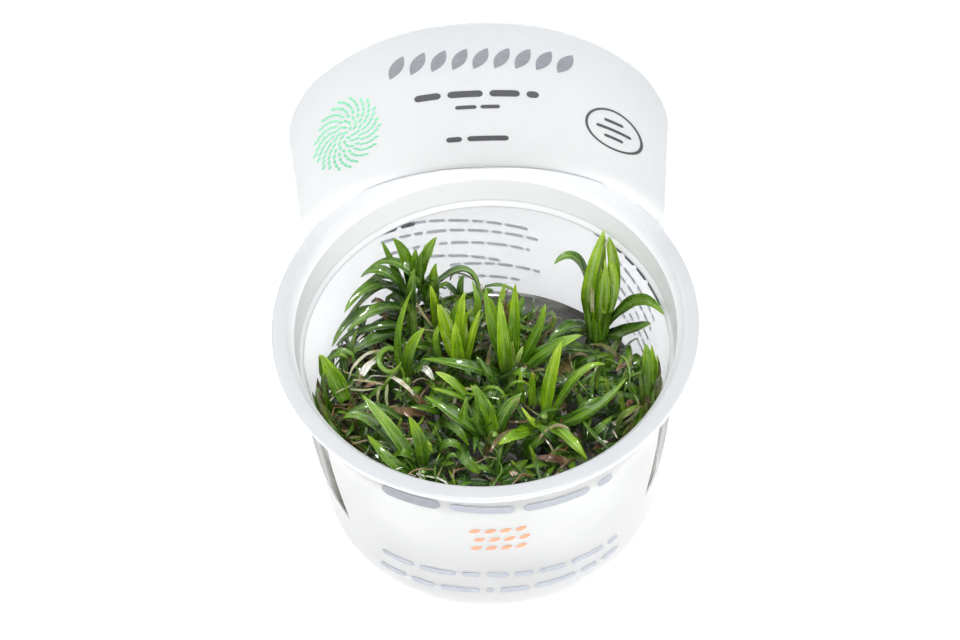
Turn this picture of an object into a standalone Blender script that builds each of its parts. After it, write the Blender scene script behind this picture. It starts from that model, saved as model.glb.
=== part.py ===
"""A clear flanged cup in a folded card sleeve, holding agar gel and a crowd of young
stem plants with narrow fleshy leaves. Metres, +Z up, the cup stands on z = 0 with its
axis on the Z axis, and the card's tall header is at +Y."""

import math

import bmesh
import bpy
from mathutils import Vector

# Cup
FLANGE_RADIUS = 0.0499
FLANGE_HEIGHT = 0.0605
FLANGE_LIP = 0.0016
FLANGE_EDGE = 0.0004
MOUTH_RADIUS = 0.0448
MOUTH_HEIGHT = 0.0578
WALL = 0.0008
FLOOR = 0.0010
BASE_RADIUS = 0.0411
LEDGE_RADIUS = 0.0433
LEDGE_HEIGHT = 0.0493
LEDGE_STEP = 0.0010
FLANGE_INNER = 0.0465
FOOT_CORNER = 0.0012
CUP_STEPS = 56

# Card sleeve
CARD_THICK = 0.0005
CARD_BOTTOM = 0.0008
CARD_BOTTOM_RADIUS = 0.04155
CARD_TOP_RADIUS = 0.04595
FRONT_TOP = 0.0570
SLIT_TIP = 0.0165
SLIT_TIP_ANGLE = math.radians(55)
SLIT_TOP_ANGLE = math.radians(56)
SLIT_BULGE = math.radians(2.5)
FRONT_TWIST = math.radians(3)
FLARE_START = 0.0220
FLARE_END = 0.0620
HEADER_HALF_WIDTH = 0.0434
HEADER_HEIGHT = 0.1085
HEADER_CROWN_RADIUS = 0.150
HEADER_CORNER = 0.0075
HEADER_LEAN = math.radians(3)
HEADER_A = 0.0503
HEADER_B = 0.04605
HEADER_POWER = 2.3
SLOT_HALF_WIDTH = 0.0368
SLOT_NEAR = 0.0300
SLOT_FAR = 0.0600
SLOT_BOTTOM = 0.0572
SLOT_TOP = 0.0610

# Gel and undergrowth. The undergrowth stays MAT_GAP below a leaf and MAT_SIDE_GAP beside
# it, and is at least MAT_LEAST thick
GEL_TOP = 0.0170
CLEARANCE = 0.0003
GEL_RADIUS_BOTTOM = 0.0396
GEL_RADIUS_TOP = 0.0410
ROOT_DEPTH = 0.0080
MAT_RADIUS = 0.0404
MAT_RINGS = 9
MAT_SECTORS = 40
MAT_NOTCH_DEPTH = 0.0140
MAT_NOTCH_ANGLE = math.radians(66)
MAT_NOTCH_SPREAD = math.radians(24)
MAT_GAP = 0.0018
MAT_SIDE_GAP = 0.0034
MAT_LEAST = 0.0030
LEAF_SAMPLES = 14
POCKET_TOP = 0.0450

# Leaves
LEAF_THICK = 0.00062
LEAF_FOLD = 0.16
LEAF_STATIONS = (0.0, 0.12, 0.28, 0.46, 0.64, 0.80, 0.92)
LEAF_ACROSS = ((-1, 0), (-0.42, 1), (0.42, 1), (1, 0), (0.42, -1), (-0.42, -1))

# Each stem: foot on the gel, top, and radius at the foot
STEMS = {
    "back_left": ((-0.0188, 0.0235), (-0.0184, 0.0250, 0.0400), 0.0011),
    "back_middle": ((-0.0124, 0.0205), (-0.0124, 0.0208, 0.0290), 0.0009),
    "back_right": ((0.0275, 0.0212), (0.0277, 0.0225, 0.0290), 0.0013),
    "centre_left": ((-0.0070, 0.0110), (-0.0070, 0.0115, 0.0290), 0.0010),
    "centre_right": ((0.0052, 0.0090), (0.0053, 0.0095, 0.0290), 0.0011),
    "left": ((-0.0200, 0.0060), (-0.0200, 0.0065, 0.0280), 0.0010),
    "right": ((0.0130, -0.0060), (0.0133, -0.0055, 0.0280), 0.0011),
    "front_centre": ((0.0010, -0.0100), (0.0010, -0.0098, 0.0270), 0.0011),
    "front_left": ((-0.0158, -0.0205), (-0.0162, -0.0210, 0.0290), 0.0011),
}

# Each leaf: the height where it leaves its stem, or the point where a leaf with no stem
# starts, then the point halfway along it, its tip and its width
LEAVES = {
    "back_left_leaf_1": (0.0396, (-0.0144, 0.0294, 0.0465), (-0.0115, 0.0310, 0.0530), 0.0038),
    "back_left_leaf_2": (0.0368, (-0.0196, 0.0300, 0.0460), (-0.0223, 0.0318, 0.0520), 0.0034),
    "back_left_leaf_3": (0.0338, (-0.0228, 0.0302, 0.0432), (-0.0252, 0.0335, 0.0490), 0.0020),
    "back_left_leaf_4": (0.0390, (-0.0254, 0.0264, 0.0458), (-0.0308, 0.0274, 0.0425), 0.0034),
    "back_left_leaf_5": (0.0350, (-0.0272, 0.0258, 0.0410), (-0.0350, 0.0190, 0.0392), 0.0038),
    "back_left_leaf_6": (0.0325, (-0.0270, 0.0213, 0.0370), (-0.0343, 0.0165, 0.0350), 0.0034),
    "back_left_leaf_7": (0.0290, (-0.0305, 0.0225, 0.0345), (-0.0385, 0.0140, 0.0318), 0.0036),
    "back_left_leaf_8": (0.0262, (-0.0285, 0.0170, 0.0305), (-0.0368, 0.0130, 0.0282), 0.0032),
    "back_left_leaf_9": (0.0375, (-0.0128, 0.0262, 0.0422), (-0.0122, 0.0240, 0.0345), 0.0032),
    "back_left_leaf_10": (0.0345, (-0.0048, 0.0300, 0.0405), (-0.0018, 0.0220, 0.0300), 0.0028),
    "back_left_leaf_11": (0.0370, (-0.0180, 0.0228, 0.0425), (-0.0172, 0.0250, 0.0485), 0.0028),
    "back_middle_leaf_1": (0.0280, (-0.0130, 0.0224, 0.0370), (-0.0136, 0.0239, 0.0430), 0.0024),
    "back_right_leaf_1": (0.0286, (0.0256, 0.0232, 0.0435), (0.0293, 0.0292, 0.0565), 0.0036),
    "back_right_leaf_2": (0.0284, (0.0314, 0.0252, 0.0435), (0.0302, 0.0284, 0.0545), 0.0036),
    "back_right_leaf_3": (0.0276, (0.0282, 0.0203, 0.0395), (0.0292, 0.0242, 0.0480), 0.0024),
    "back_right_leaf_4": (0.0268, (0.0283, 0.0286, 0.0420), (0.0292, 0.0316, 0.0530), 0.0032),
    "back_right_leaf_5": (0.0252, (0.0230, 0.0290, 0.0435), (0.0168, 0.0275, 0.0450), 0.0034),
    "back_right_leaf_6": (0.0262, (0.0370, 0.0150, 0.0460), (0.0424, 0.0068, 0.0505), 0.0034),
    "back_right_leaf_7": (0.0240, (0.0355, 0.0142, 0.0350), (0.0398, 0.0118, 0.0410), 0.0038),
    "back_right_leaf_8": (0.0240, (0.0205, 0.0185, 0.0318), (0.0145, 0.0140, 0.0300), 0.0034),
    "centre_left_leaf_1": (0.0262, (-0.0104, 0.0150, 0.0360), (-0.0117, 0.0175, 0.0440), 0.0030),
    "centre_left_leaf_2": (0.0258, (-0.0036, 0.0135, 0.0350), (-0.0014, 0.0165, 0.0425), 0.0026),
    "centre_left_leaf_3": (0.0284, (-0.0066, 0.0150, 0.0380), (-0.0052, 0.0190, 0.0465), 0.0030),
    "centre_left_leaf_4": (0.0270, (-0.0074, 0.0092, 0.0360), (-0.0076, 0.0120, 0.0435), 0.0034),
    "centre_right_leaf_1": (0.0280, (0.0010, 0.0142, 0.0390), (0.0001, 0.0200, 0.0470), 0.0026),
    "centre_right_leaf_2": (0.0284, (0.0040, 0.0076, 0.0390), (0.0034, 0.0145, 0.0495), 0.0036),
    "centre_right_leaf_3": (0.0272, (0.0068, 0.0146, 0.0380), (0.0073, 0.0200, 0.0480), 0.0032),
    "centre_right_leaf_4": (0.0258, (0.0122, 0.0138, 0.0350), (0.0144, 0.0180, 0.0420), 0.0028),
    "centre_right_leaf_5": (0.0240, (0.0145, 0.0104, 0.0326), (0.0232, 0.0124, 0.0362), 0.0038),
    "centre_right_leaf_6": (0.0240, (-0.0046, 0.0060, 0.0330), (-0.0162, 0.0098, 0.0320), 0.0034),
    "left_leaf_1": (0.0272, (-0.0186, 0.0092, 0.0360), (-0.0150, 0.0118, 0.0420), 0.0034),
    "left_leaf_2": (0.0248, (-0.0218, 0.0128, 0.0370), (-0.0176, 0.0192, 0.0480), 0.0018),
    "right_leaf_1": (0.0274, (0.0153, -0.0006, 0.0375), (0.0180, 0.0032, 0.0465), 0.0034),
    "right_leaf_2": (0.0250, (0.0219, -0.0018, 0.0390), (0.0284, 0.0004, 0.0400), 0.0026),
    "right_leaf_3": (0.0242, (0.0252, -0.0076, 0.0325), (0.0330, -0.0036, 0.0398), 0.0040),
    "right_leaf_4": (0.0268, (0.0105, -0.0108, 0.0325), (0.0078, -0.0075, 0.0350), 0.0024),
    "right_leaf_5": (0.0240, (0.0068, -0.0135, 0.0315), (0.0020, -0.0160, 0.0315), 0.0034),
    "right_leaf_6": (0.0262, (0.0178, -0.0145, 0.0325), (0.0232, -0.0200, 0.0300), 0.0034),
    "front_centre_leaf_1": (0.0260, (0.0040, -0.0068, 0.0310), (0.0080, -0.0036, 0.0350), 0.0046),
    "front_centre_leaf_2": (0.0264, (-0.0018, -0.0064, 0.0335), (-0.0032, -0.0030, 0.0385), 0.0038),
    "front_centre_leaf_3": (0.0245, (-0.0075, -0.0088, 0.0325), (-0.0155, -0.0034, 0.0350), 0.0032),
    "front_left_leaf_1": (0.0274, (-0.0232, -0.0145, 0.0368), (-0.0300, -0.0075, 0.0420), 0.0032),
    "front_left_leaf_2": (0.0240, (-0.0272, -0.0100, 0.0328), (-0.0350, -0.0090, 0.0345), 0.0032),
    "front_left_leaf_3": (0.0252, (-0.0238, -0.0206, 0.0330), (-0.0292, -0.0142, 0.0352), 0.0030),
    "front_left_leaf_4": (0.0284, (-0.0166, -0.0170, 0.0360), (-0.0188, -0.0142, 0.0420), 0.0034),
    "left_wall_leaf": (
        (-0.0355, 0.0015, 0.0270), (-0.0382, 0.0048, 0.0325), (-0.0402, 0.0080, 0.0375), 0.0040),
    "right_wall_leaf": (
        (0.0385, 0.0010, 0.0260), (0.0390, 0.0048, 0.0320), (0.0383, 0.0088, 0.0370), 0.0034),
}


def clear_scene():
    for obj in list(bpy.data.objects):
        bpy.data.objects.remove(obj, do_unlink=True)


def collection(name):
    made = bpy.data.collections.new(name)
    bpy.context.scene.collection.children.link(made)
    return made


def material(name, colour, roughness, transmission=0.0):
    made = bpy.data.materials.new(name)
    made.use_nodes = True
    shader = made.node_tree.nodes["Principled BSDF"]
    shader.inputs["Base Color"].default_value = (*colour, 1)
    shader.inputs["Roughness"].default_value = roughness
    shader.inputs["Metallic"].default_value = 0.0
    shader.inputs["Transmission Weight"].default_value = transmission
    made.diffuse_color = (*colour, 1)
    return made


def add_object(name, mesh, home, finish=None):
    made = bpy.data.objects.new(name, mesh)
    home.objects.link(made)
    if finish:
        mesh.materials.append(finish)
    return made


def smooth(mesh, angle=35):
    mesh.shade_smooth()
    mesh.set_sharp_from_angle(angle=math.radians(angle))


def ramp(low, high, value):
    """0 below low, 1 above high, and an S-curve between."""
    t = min(1.0, max(0.0, (value - low) / (high - low)))
    return t * t * (3 - 2 * t)


def turned(name, profile, steps, home, finish):
    """A profile of (radius, height) spun about Z: inner side up, outer side down."""
    mesh = bpy.data.meshes.new(name)
    mesh.from_pydata([(r, 0, z) for r, z in profile], [(i, i + 1) for i in range(len(profile) - 1)], [])
    made = add_object(name, mesh, home, finish)
    screw = made.modifiers.new("turn", "SCREW")
    screw.steps = steps
    screw.render_steps = steps
    screw.use_merge_vertices = True
    screw.merge_threshold = 0.00001
    screw.use_smooth_shade = True
    return made


def cup_profile():
    """From the middle of the floor up the inside, over the flange and down the outside."""
    shoulder = LEDGE_RADIUS + LEDGE_STEP
    inside = [
        (0, FLOOR),
        (BASE_RADIUS - 2.2 * WALL, FLOOR),
        (BASE_RADIUS - 1.2 * WALL, FLOOR + 0.0005),
        (BASE_RADIUS - 0.75 * WALL, FLOOR + 0.0016),
        (LEDGE_RADIUS, LEDGE_HEIGHT),
        (shoulder, LEDGE_HEIGHT + LEDGE_STEP),
        (MOUTH_RADIUS, MOUTH_HEIGHT),
        (MOUTH_RADIUS + 0.0005, MOUTH_HEIGHT + 0.0014),
        (FLANGE_INNER, FLANGE_HEIGHT),
    ]
    lip = [
        (FLANGE_RADIUS - FLANGE_EDGE, FLANGE_HEIGHT),
        (FLANGE_RADIUS, FLANGE_HEIGHT - FLANGE_EDGE),
        (FLANGE_RADIUS, FLANGE_HEIGHT - FLANGE_LIP),
        (FLANGE_RADIUS - WALL, FLANGE_HEIGHT - FLANGE_LIP),
        (FLANGE_RADIUS - WALL, FLANGE_HEIGHT - WALL),
    ]
    outside = [
        (FLANGE_INNER + 0.0004, FLANGE_HEIGHT - WALL),
        (MOUTH_RADIUS + WALL, MOUTH_HEIGHT - 0.0004),
        (shoulder + WALL, LEDGE_HEIGHT + LEDGE_STEP - 0.0002),
        (LEDGE_RADIUS + WALL, LEDGE_HEIGHT - 0.0002),
        (BASE_RADIUS + 0.0001, 0.0022),
        (BASE_RADIUS - 0.3 * FOOT_CORNER, 0.4 * FOOT_CORNER),
        (BASE_RADIUS - FOOT_CORNER, 0),
        (0, 0),
    ]
    return inside + lip + outside


def card_cone(z):
    """Inner radius of the card where it lies against the cup."""
    return CARD_BOTTOM_RADIUS + (CARD_TOP_RADIUS - CARD_BOTTOM_RADIUS) * z / FRONT_TOP


def header_radius(angle):
    """Distance of the flared header from the axis, at an angle from +Y."""
    across = abs(math.sin(angle)) / HEADER_A
    along = abs(math.cos(angle)) / HEADER_B
    return (across**HEADER_POWER + along**HEADER_POWER) ** (-1 / HEADER_POWER)


def card_point(angle, z, flares):
    """A point on the card's inner face. angle is measured from +Y towards +X."""
    radius = card_cone(min(z, FRONT_TOP))
    lean = 0.0
    if flares:
        flare = ramp(FLARE_START, FLARE_END, z)
        radius = (1 - flare) * radius + flare * header_radius(angle)
        lean = max(0.0, z - FLANGE_HEIGHT) * math.tan(HEADER_LEAN)
    return Vector((radius * math.sin(angle), radius * math.cos(angle) + lean, z))


def header_angle(x):
    """Angle from +Y where the header is x from the middle."""
    angle = math.asin(x / HEADER_A)
    for _ in range(30):
        angle = math.asin(x / header_radius(angle))
    return angle


def header_top(x):
    """Height of the header's crowned top edge, with its rounded corners."""
    crown = HEADER_CROWN_RADIUS - math.sqrt(HEADER_CROWN_RADIUS**2 - x * x)
    into_corner = abs(x) - (HEADER_HALF_WIDTH - HEADER_CORNER)
    drop = 0.0
    if into_corner > 0:
        across = min(into_corner, HEADER_CORNER)
        drop = HEADER_CORNER - math.sqrt(HEADER_CORNER**2 - across**2)
    return HEADER_HEIGHT - crown - drop


def sheet(grid_bm, columns, rows, place):
    """A grid of columns by rows cells whose corners are put where place(u, v) says."""
    before = set(grid_bm.verts)
    bmesh.ops.create_grid(grid_bm, x_segments=columns, y_segments=rows, size=0.5)
    for vert in set(grid_bm.verts) - before:
        vert.co = place(vert.co.x + 0.5, vert.co.y + 0.5)


def make_sleeve(home, finish, cutters):
    """One card: a ring round the foot, a front panel and a flared back with the header."""
    edge = header_angle(HEADER_HALF_WIDTH)
    tip_left = -(math.pi - SLIT_TIP_ANGLE) - FRONT_TWIST
    tip_right = math.pi - SLIT_TIP_ANGLE - FRONT_TWIST
    spread, back, front = 10, 24, 20
    columns = 2 * spread + back

    def angle_at(column):
        """Angle of a back column: the slanted left edge, the header, the right edge."""
        if column <= spread:
            return tip_left + (-edge - tip_left) * column / spread
        if column <= spread + back:
            return header_angle(HEADER_HALF_WIDTH * math.sin(((column - spread) / back - 0.5) * math.pi))
        return edge + (tip_right - edge) * (column - spread - back) / spread

    def panel_top(angle):
        """Top of the back panel below the header's foot, cut on a slant at both sides."""
        if abs(angle) <= edge + 1e-6:
            return FRONT_TOP
        tip = tip_left if angle < 0 else tip_right
        share = (angle - tip) / (math.copysign(edge, angle) - tip)
        return SLIT_TIP + (FRONT_TOP - SLIT_TIP) * share**1.5

    def place_ring_back(u, v):
        return card_point(angle_at(columns * u), CARD_BOTTOM + (SLIT_TIP - CARD_BOTTOM) * v, True)

    def place_ring_front(u, v):
        angle = tip_right + (tip_left + 2 * math.pi - tip_right) * u
        return card_point(angle, CARD_BOTTOM + (SLIT_TIP - CARD_BOTTOM) * v, False)

    def place_front(u, v):
        narrowing = (SLIT_TOP_ANGLE - SLIT_TIP_ANGLE) * v + SLIT_BULGE * math.sin(math.pi * v)
        start = tip_right - narrowing
        end = tip_left + 2 * math.pi + narrowing
        return card_point(start + (end - start) * u, SLIT_TIP + (FRONT_TOP - SLIT_TIP) * v, False)

    def place_back(u, v):
        angle = angle_at(columns * u)
        return card_point(angle, SLIT_TIP + (panel_top(angle) - SLIT_TIP) * v, True)

    def place_header(u, v):
        angle = angle_at(spread + back * u)
        x = header_radius(angle) * math.sin(angle)
        return card_point(angle, FRONT_TOP + (header_top(x) - FRONT_TOP) * v, True)

    bm = bmesh.new()
    sheet(bm, columns, 1, place_ring_back)
    sheet(bm, front, 1, place_ring_front)
    sheet(bm, front, 4, place_front)
    sheet(bm, columns, 5, place_back)
    sheet(bm, back, 4, place_header)
    bmesh.ops.remove_doubles(bm, verts=bm.verts, dist=0.00002)
    flat = [face for face in bm.faces if face.calc_area() < 1e-10]
    bmesh.ops.delete(bm, geom=flat, context="FACES")
    bmesh.ops.recalc_face_normals(bm, faces=bm.faces)
    if sum(face.normal.dot(face.calc_center_median().xy.to_3d()) for face in bm.faces) < 0:
        bmesh.ops.reverse_faces(bm, faces=bm.faces)
    mesh = bpy.data.meshes.new("sleeve")
    bm.to_mesh(mesh)
    bm.free()
    made = add_object("card_sleeve", mesh, home, finish)
    thick = made.modifiers.new("card thickness", "SOLIDIFY")
    thick.thickness = CARD_THICK
    thick.offset = 1
    slot = made.modifiers.new("flange slot", "BOOLEAN")
    slot.operation = "DIFFERENCE"
    slot.object = slot_cutter(cutters)
    smooth(mesh)
    return made


def slot_cutter(cutters):
    """A block across the back of the card, as high as the slot that the flange comes through."""
    bm = bmesh.new()
    bmesh.ops.create_cube(bm, size=1)
    for vert in bm.verts:
        vert.co.x *= 2 * SLOT_HALF_WIDTH
        vert.co.y = SLOT_NEAR + (vert.co.y + 0.5) * (SLOT_FAR - SLOT_NEAR)
        vert.co.z = SLOT_BOTTOM + (vert.co.z + 0.5) * (SLOT_TOP - SLOT_BOTTOM)
    mesh = bpy.data.meshes.new("slot cutter")
    bm.to_mesh(mesh)
    bm.free()
    return hide_cutter(add_object("slot cutter", mesh, cutters))


def hide_cutter(obj):
    obj.hide_render = True
    obj.display_type = "WIRE"
    return obj


def tube(name, points, radii, home, finish=None):
    """A round closed tube along points, made as a curve and then turned into a mesh."""
    curve = bpy.data.curves.new(name, "CURVE")
    curve.dimensions = "3D"
    curve.bevel_depth = 1.0
    curve.bevel_resolution = 2
    curve.use_fill_caps = True
    spline = curve.splines.new("POLY")
    spline.points.add(len(points) - 1)
    for spot, point, radius in zip(spline.points, points, radii):
        spot.co = (*point, 1)
        spot.radius = radius
    guide = bpy.data.objects.new(name, curve)
    home.objects.link(guide)
    depsgraph = bpy.context.evaluated_depsgraph_get()
    mesh = bpy.data.meshes.new_from_object(guide.evaluated_get(depsgraph))
    bpy.data.objects.remove(guide, do_unlink=True)
    bm = bmesh.new()
    bm.from_mesh(mesh)
    bmesh.ops.remove_doubles(bm, verts=bm.verts, dist=0.000005)
    bmesh.ops.recalc_face_normals(bm, faces=bm.faces)
    bm.to_mesh(mesh)
    bm.free()
    smooth(mesh, 50)
    return add_object(name, mesh, home, finish)


def stem_point(stem, height):
    """The stem's axis at a height: straight from its foot in the gel to its top."""
    foot, top, _ = STEMS[stem]
    low = Vector((foot[0], foot[1], ROOT_DEPTH))
    high = Vector(top)
    return low.lerp(high, (height - ROOT_DEPTH) / (top[2] - ROOT_DEPTH))


def stem_radius(stem, height):
    """Stems narrow to 70% of their foot radius at the top."""
    _, top, radius = STEMS[stem]
    return radius * (1 - 0.3 * (height - ROOT_DEPTH) / (top[2] - ROOT_DEPTH))


def leaf_arc(name):
    """A leaf's foot, bend point and tip, the control points of its midrib's curve."""
    start, middle, tip, width = LEAVES[name]
    middle = Vector(middle)
    tip = Vector(tip)
    stem = name.rsplit("_leaf", 1)[0]
    if stem in STEMS:
        axis = stem_point(stem, start)
        outward = middle - axis
        outward.z = 0
        reach = stem_radius(stem, start) + CLEARANCE + 0.7 * LEAF_THICK + 0.4 * LEAF_FOLD * width
        foot = axis + outward.normalized() * reach
    else:
        foot = Vector(start)
    return foot, 2 * middle - (foot + tip) / 2, tip


def midrib(arc, t):
    foot, bend, tip = arc
    return foot * (1 - t) ** 2 + bend * 2 * t * (1 - t) + tip * t * t


def midrib_direction(arc, t):
    foot, bend, tip = arc
    return ((bend - foot) * (1 - t) + (tip - bend) * t).normalized()


def leaf_width(t):
    """Share of full width: a narrow foot, parallel sides and a tapering tip."""
    return 1.29 * (1 - t) ** 0.6 * (0.30 + 1.3 * t**0.6)


def leaf_frame(arc, t):
    """Unit vectors across the leaf and out of its upper face."""
    along = midrib_direction(arc, t)
    chord = arc[2] - arc[0]
    side = Vector((0, 0, 1)).cross(Vector((chord.x, chord.y, 0)))
    side = (side - along * side.dot(along)).normalized()
    return side, along.cross(side).normalized()


def leaf_ring(name, t):
    """Six points round the leaf, folded up a little along the midrib."""
    arc = leaf_arc(name)
    side, upper = leaf_frame(arc, t)
    width = LEAVES[name][3] * leaf_width(t)
    thick = LEAF_THICK * (0.55 + 0.45 * leaf_width(t)) / 2
    centre = midrib(arc, t)
    ring = []
    for across, face in LEAF_ACROSS:
        rise = LEAF_FOLD * width * abs(across) ** 1.5 + face * thick
        ring.append(centre + side * width / 2 * across + upper * rise)
    return ring


def loft(name, rings, tip, home, finish):
    """A closed body through rings of points, flat at the first ring and pointed at tip."""
    bm = bmesh.new()
    loops = [[bm.verts.new(point) for point in ring] for ring in rings]
    bm.faces.new(loops[0])
    count = len(rings[0])
    for low, high in zip(loops, loops[1:]):
        for i in range(count):
            bm.faces.new((low[i], low[(i + 1) % count], high[(i + 1) % count], high[i]))
    end = bm.verts.new(tip)
    for i in range(count):
        bm.faces.new((loops[-1][i], loops[-1][(i + 1) % count], end))
    bmesh.ops.recalc_face_normals(bm, faces=bm.faces)
    mesh = bpy.data.meshes.new(name)
    bm.to_mesh(mesh)
    bm.free()
    smooth(mesh, 60)
    return add_object(name, mesh, home, finish)


def make_leaf(name, home, finish):
    rings = [leaf_ring(name, t) for t in LEAF_STATIONS]
    return loft(name, rings, leaf_arc(name)[2], home, finish)


def make_stem(name, home, finish):
    top = STEMS[name][1][2]
    heights = [ROOT_DEPTH + (top - ROOT_DEPTH) * i / 3 for i in range(4)]
    points = [stem_point(name, height) for height in heights]
    return tube(name + "_stem", points, [stem_radius(name, height) for height in heights], home, finish)


def pocket_cutter(stem, cutters):
    """A slightly wider tube round a stem, which cuts its hole in the gel and undergrowth."""
    start = ROOT_DEPTH - CLEARANCE
    points = [stem_point(stem, height) for height in (start, POCKET_TOP)]
    radius = STEMS[stem][2] + CLEARANCE + 0.0001
    return hide_cutter(tube(stem + "_pocket", points, [radius, radius], cutters))


def cut(target, cutter):
    bite = target.modifiers.new(cutter.name, "BOOLEAN")
    bite.operation = "DIFFERENCE"
    bite.object = cutter


def make_gel(home, finish, pockets):
    profile = [(0, GEL_TOP), (GEL_RADIUS_TOP, GEL_TOP), (GEL_RADIUS_BOTTOM, FLOOR + 0.0022),
               (GEL_RADIUS_BOTTOM - 0.0012, FLOOR + CLEARANCE), (0, FLOOR + CLEARANCE)]
    made = turned("agar_gel", profile, 40, home, finish)
    for pocket in pockets:
        cut(made, pocket)
    return made


def mat_radius(angle):
    """Reach of the undergrowth: to the wall, except where wet gel shows at the back."""
    off = (angle - MAT_NOTCH_ANGLE) / MAT_NOTCH_SPREAD
    return MAT_RADIUS - MAT_NOTCH_DEPTH * math.exp(-off * off)


def mat_mound(x, y):
    """Height of the undergrowth where no leaf holds it down: lumpy and highest in front."""
    lumps = 0.0016 * math.sin(x * 260 + 0.6) * math.cos(y * 230 - 0.4) + 0.0010 * math.sin(x * 410 + y * 330)
    return 0.0312 - 0.11 * y + lumps


def leaf_samples():
    """Points along the underside of every leaf, with how far the leaf reaches sideways."""
    found = []
    for name in LEAVES:
        arc = leaf_arc(name)
        reach = LEAVES[name][3] / 2 + MAT_SIDE_GAP
        found += [(midrib(arc, i / LEAF_SAMPLES), reach) for i in range(LEAF_SAMPLES + 1)]
    return found


def make_undergrowth(home, finish, pockets):
    """A low mound of small leaves and roots round the stems, kept under every larger leaf."""
    samples = leaf_samples()
    low = GEL_TOP + CLEARANCE

    def top(x, y):
        height = mat_mound(x, y)
        for point, reach in samples:
            if math.hypot(point.x - x, point.y - y) < reach:
                height = min(height, point.z - MAT_GAP)
        return max(height, low + MAT_LEAST)

    bm = bmesh.new()
    loops = []
    for ring in range(1, MAT_RINGS + 1):
        share = ring / MAT_RINGS
        loop = []
        for sector in range(MAT_SECTORS):
            angle = 2 * math.pi * sector / MAT_SECTORS
            radius = mat_radius(angle) * share
            x = radius * math.cos(angle)
            y = radius * math.sin(angle)
            loop.append(bm.verts.new((x, y, top(x, y))))
        loops.append(loop)
    loops.append([bm.verts.new((vert.co.x, vert.co.y, low)) for vert in loops[-1]])
    middle = bm.verts.new((0, 0, top(0, 0)))
    for i in range(MAT_SECTORS):
        bm.faces.new((middle, loops[0][i], loops[0][(i + 1) % MAT_SECTORS]))
    for inner, outer in zip(loops, loops[1:]):
        for i in range(MAT_SECTORS):
            after = (i + 1) % MAT_SECTORS
            bm.faces.new((inner[i], outer[i], outer[after], inner[after]))
    bm.faces.new(loops[-1])
    bmesh.ops.recalc_face_normals(bm, faces=bm.faces)
    mesh = bpy.data.meshes.new("undergrowth")
    bm.to_mesh(mesh)
    bm.free()
    made = add_object("undergrowth", mesh, home, finish)
    smooth(mesh, 60)
    for pocket in pockets:
        cut(made, pocket)
    return made


def main():
    clear_scene()
    home = collection("tissue_culture_plant_cup")
    cutters = collection("cutters")
    clear = material("clear plastic", (0.90, 0.93, 0.94), 0.12, 1.0)
    card = material("white card", (0.86, 0.88, 0.90), 0.45)
    agar = material("agar gel", (0.16, 0.17, 0.10), 0.08, 0.4)
    green = material("leaf green", (0.12, 0.30, 0.03), 0.30)
    stalk = material("stem green", (0.20, 0.36, 0.08), 0.38)
    tangle = material("undergrowth green", (0.06, 0.13, 0.02), 0.45)

    turned("cup", cup_profile(), CUP_STEPS, home, clear)
    make_sleeve(home, card, cutters)
    pockets = [pocket_cutter(stem, cutters) for stem in STEMS]
    make_gel(home, agar, pockets)
    make_undergrowth(home, tangle, pockets)
    for stem in STEMS:
        make_stem(stem, home, stalk)
    for leaf in LEAVES:
        make_leaf(leaf, home, green)


main()
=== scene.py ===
"""Looks for a clear cup of tissue-cultured stem plants in a white card sleeve: wet glossy
leaves, a tangle of undergrowth on dark gel, clear plastic, coated card with plain print.
Metres, +Z up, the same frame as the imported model. The cup's axis is the Z axis."""

import math
import random

import bmesh
import bpy
import numpy as np
from mathutils import Matrix, Vector


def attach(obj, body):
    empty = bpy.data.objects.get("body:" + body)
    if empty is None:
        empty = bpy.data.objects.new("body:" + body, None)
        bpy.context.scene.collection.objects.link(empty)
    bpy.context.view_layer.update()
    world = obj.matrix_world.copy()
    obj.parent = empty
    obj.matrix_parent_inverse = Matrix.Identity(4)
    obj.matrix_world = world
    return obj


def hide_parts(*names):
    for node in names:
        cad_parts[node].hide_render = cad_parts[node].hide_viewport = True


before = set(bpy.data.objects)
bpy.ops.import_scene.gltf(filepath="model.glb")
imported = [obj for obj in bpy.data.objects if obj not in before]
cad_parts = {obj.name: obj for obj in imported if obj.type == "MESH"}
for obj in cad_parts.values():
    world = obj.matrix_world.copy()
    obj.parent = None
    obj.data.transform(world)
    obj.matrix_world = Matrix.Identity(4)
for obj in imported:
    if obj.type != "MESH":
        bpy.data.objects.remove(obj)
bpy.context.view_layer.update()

# Cup, as packed
FLANGE_RADIUS = 0.0499
FLANGE_HEIGHT = 0.0605
FLANGE_LIP = 0.0016
MOUTH_RADIUS = 0.0448
MOUTH_HEIGHT = 0.0578
WALL = 0.0008
FLOOR = 0.0010
BASE_RADIUS = 0.0411
LEDGE_RADIUS = 0.0433
LEDGE_HEIGHT = 0.0493
LEDGE_STEP = 0.0010
FLANGE_INNER = MOUTH_RADIUS + 0.0017
CUP_STEPS = 192

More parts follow.
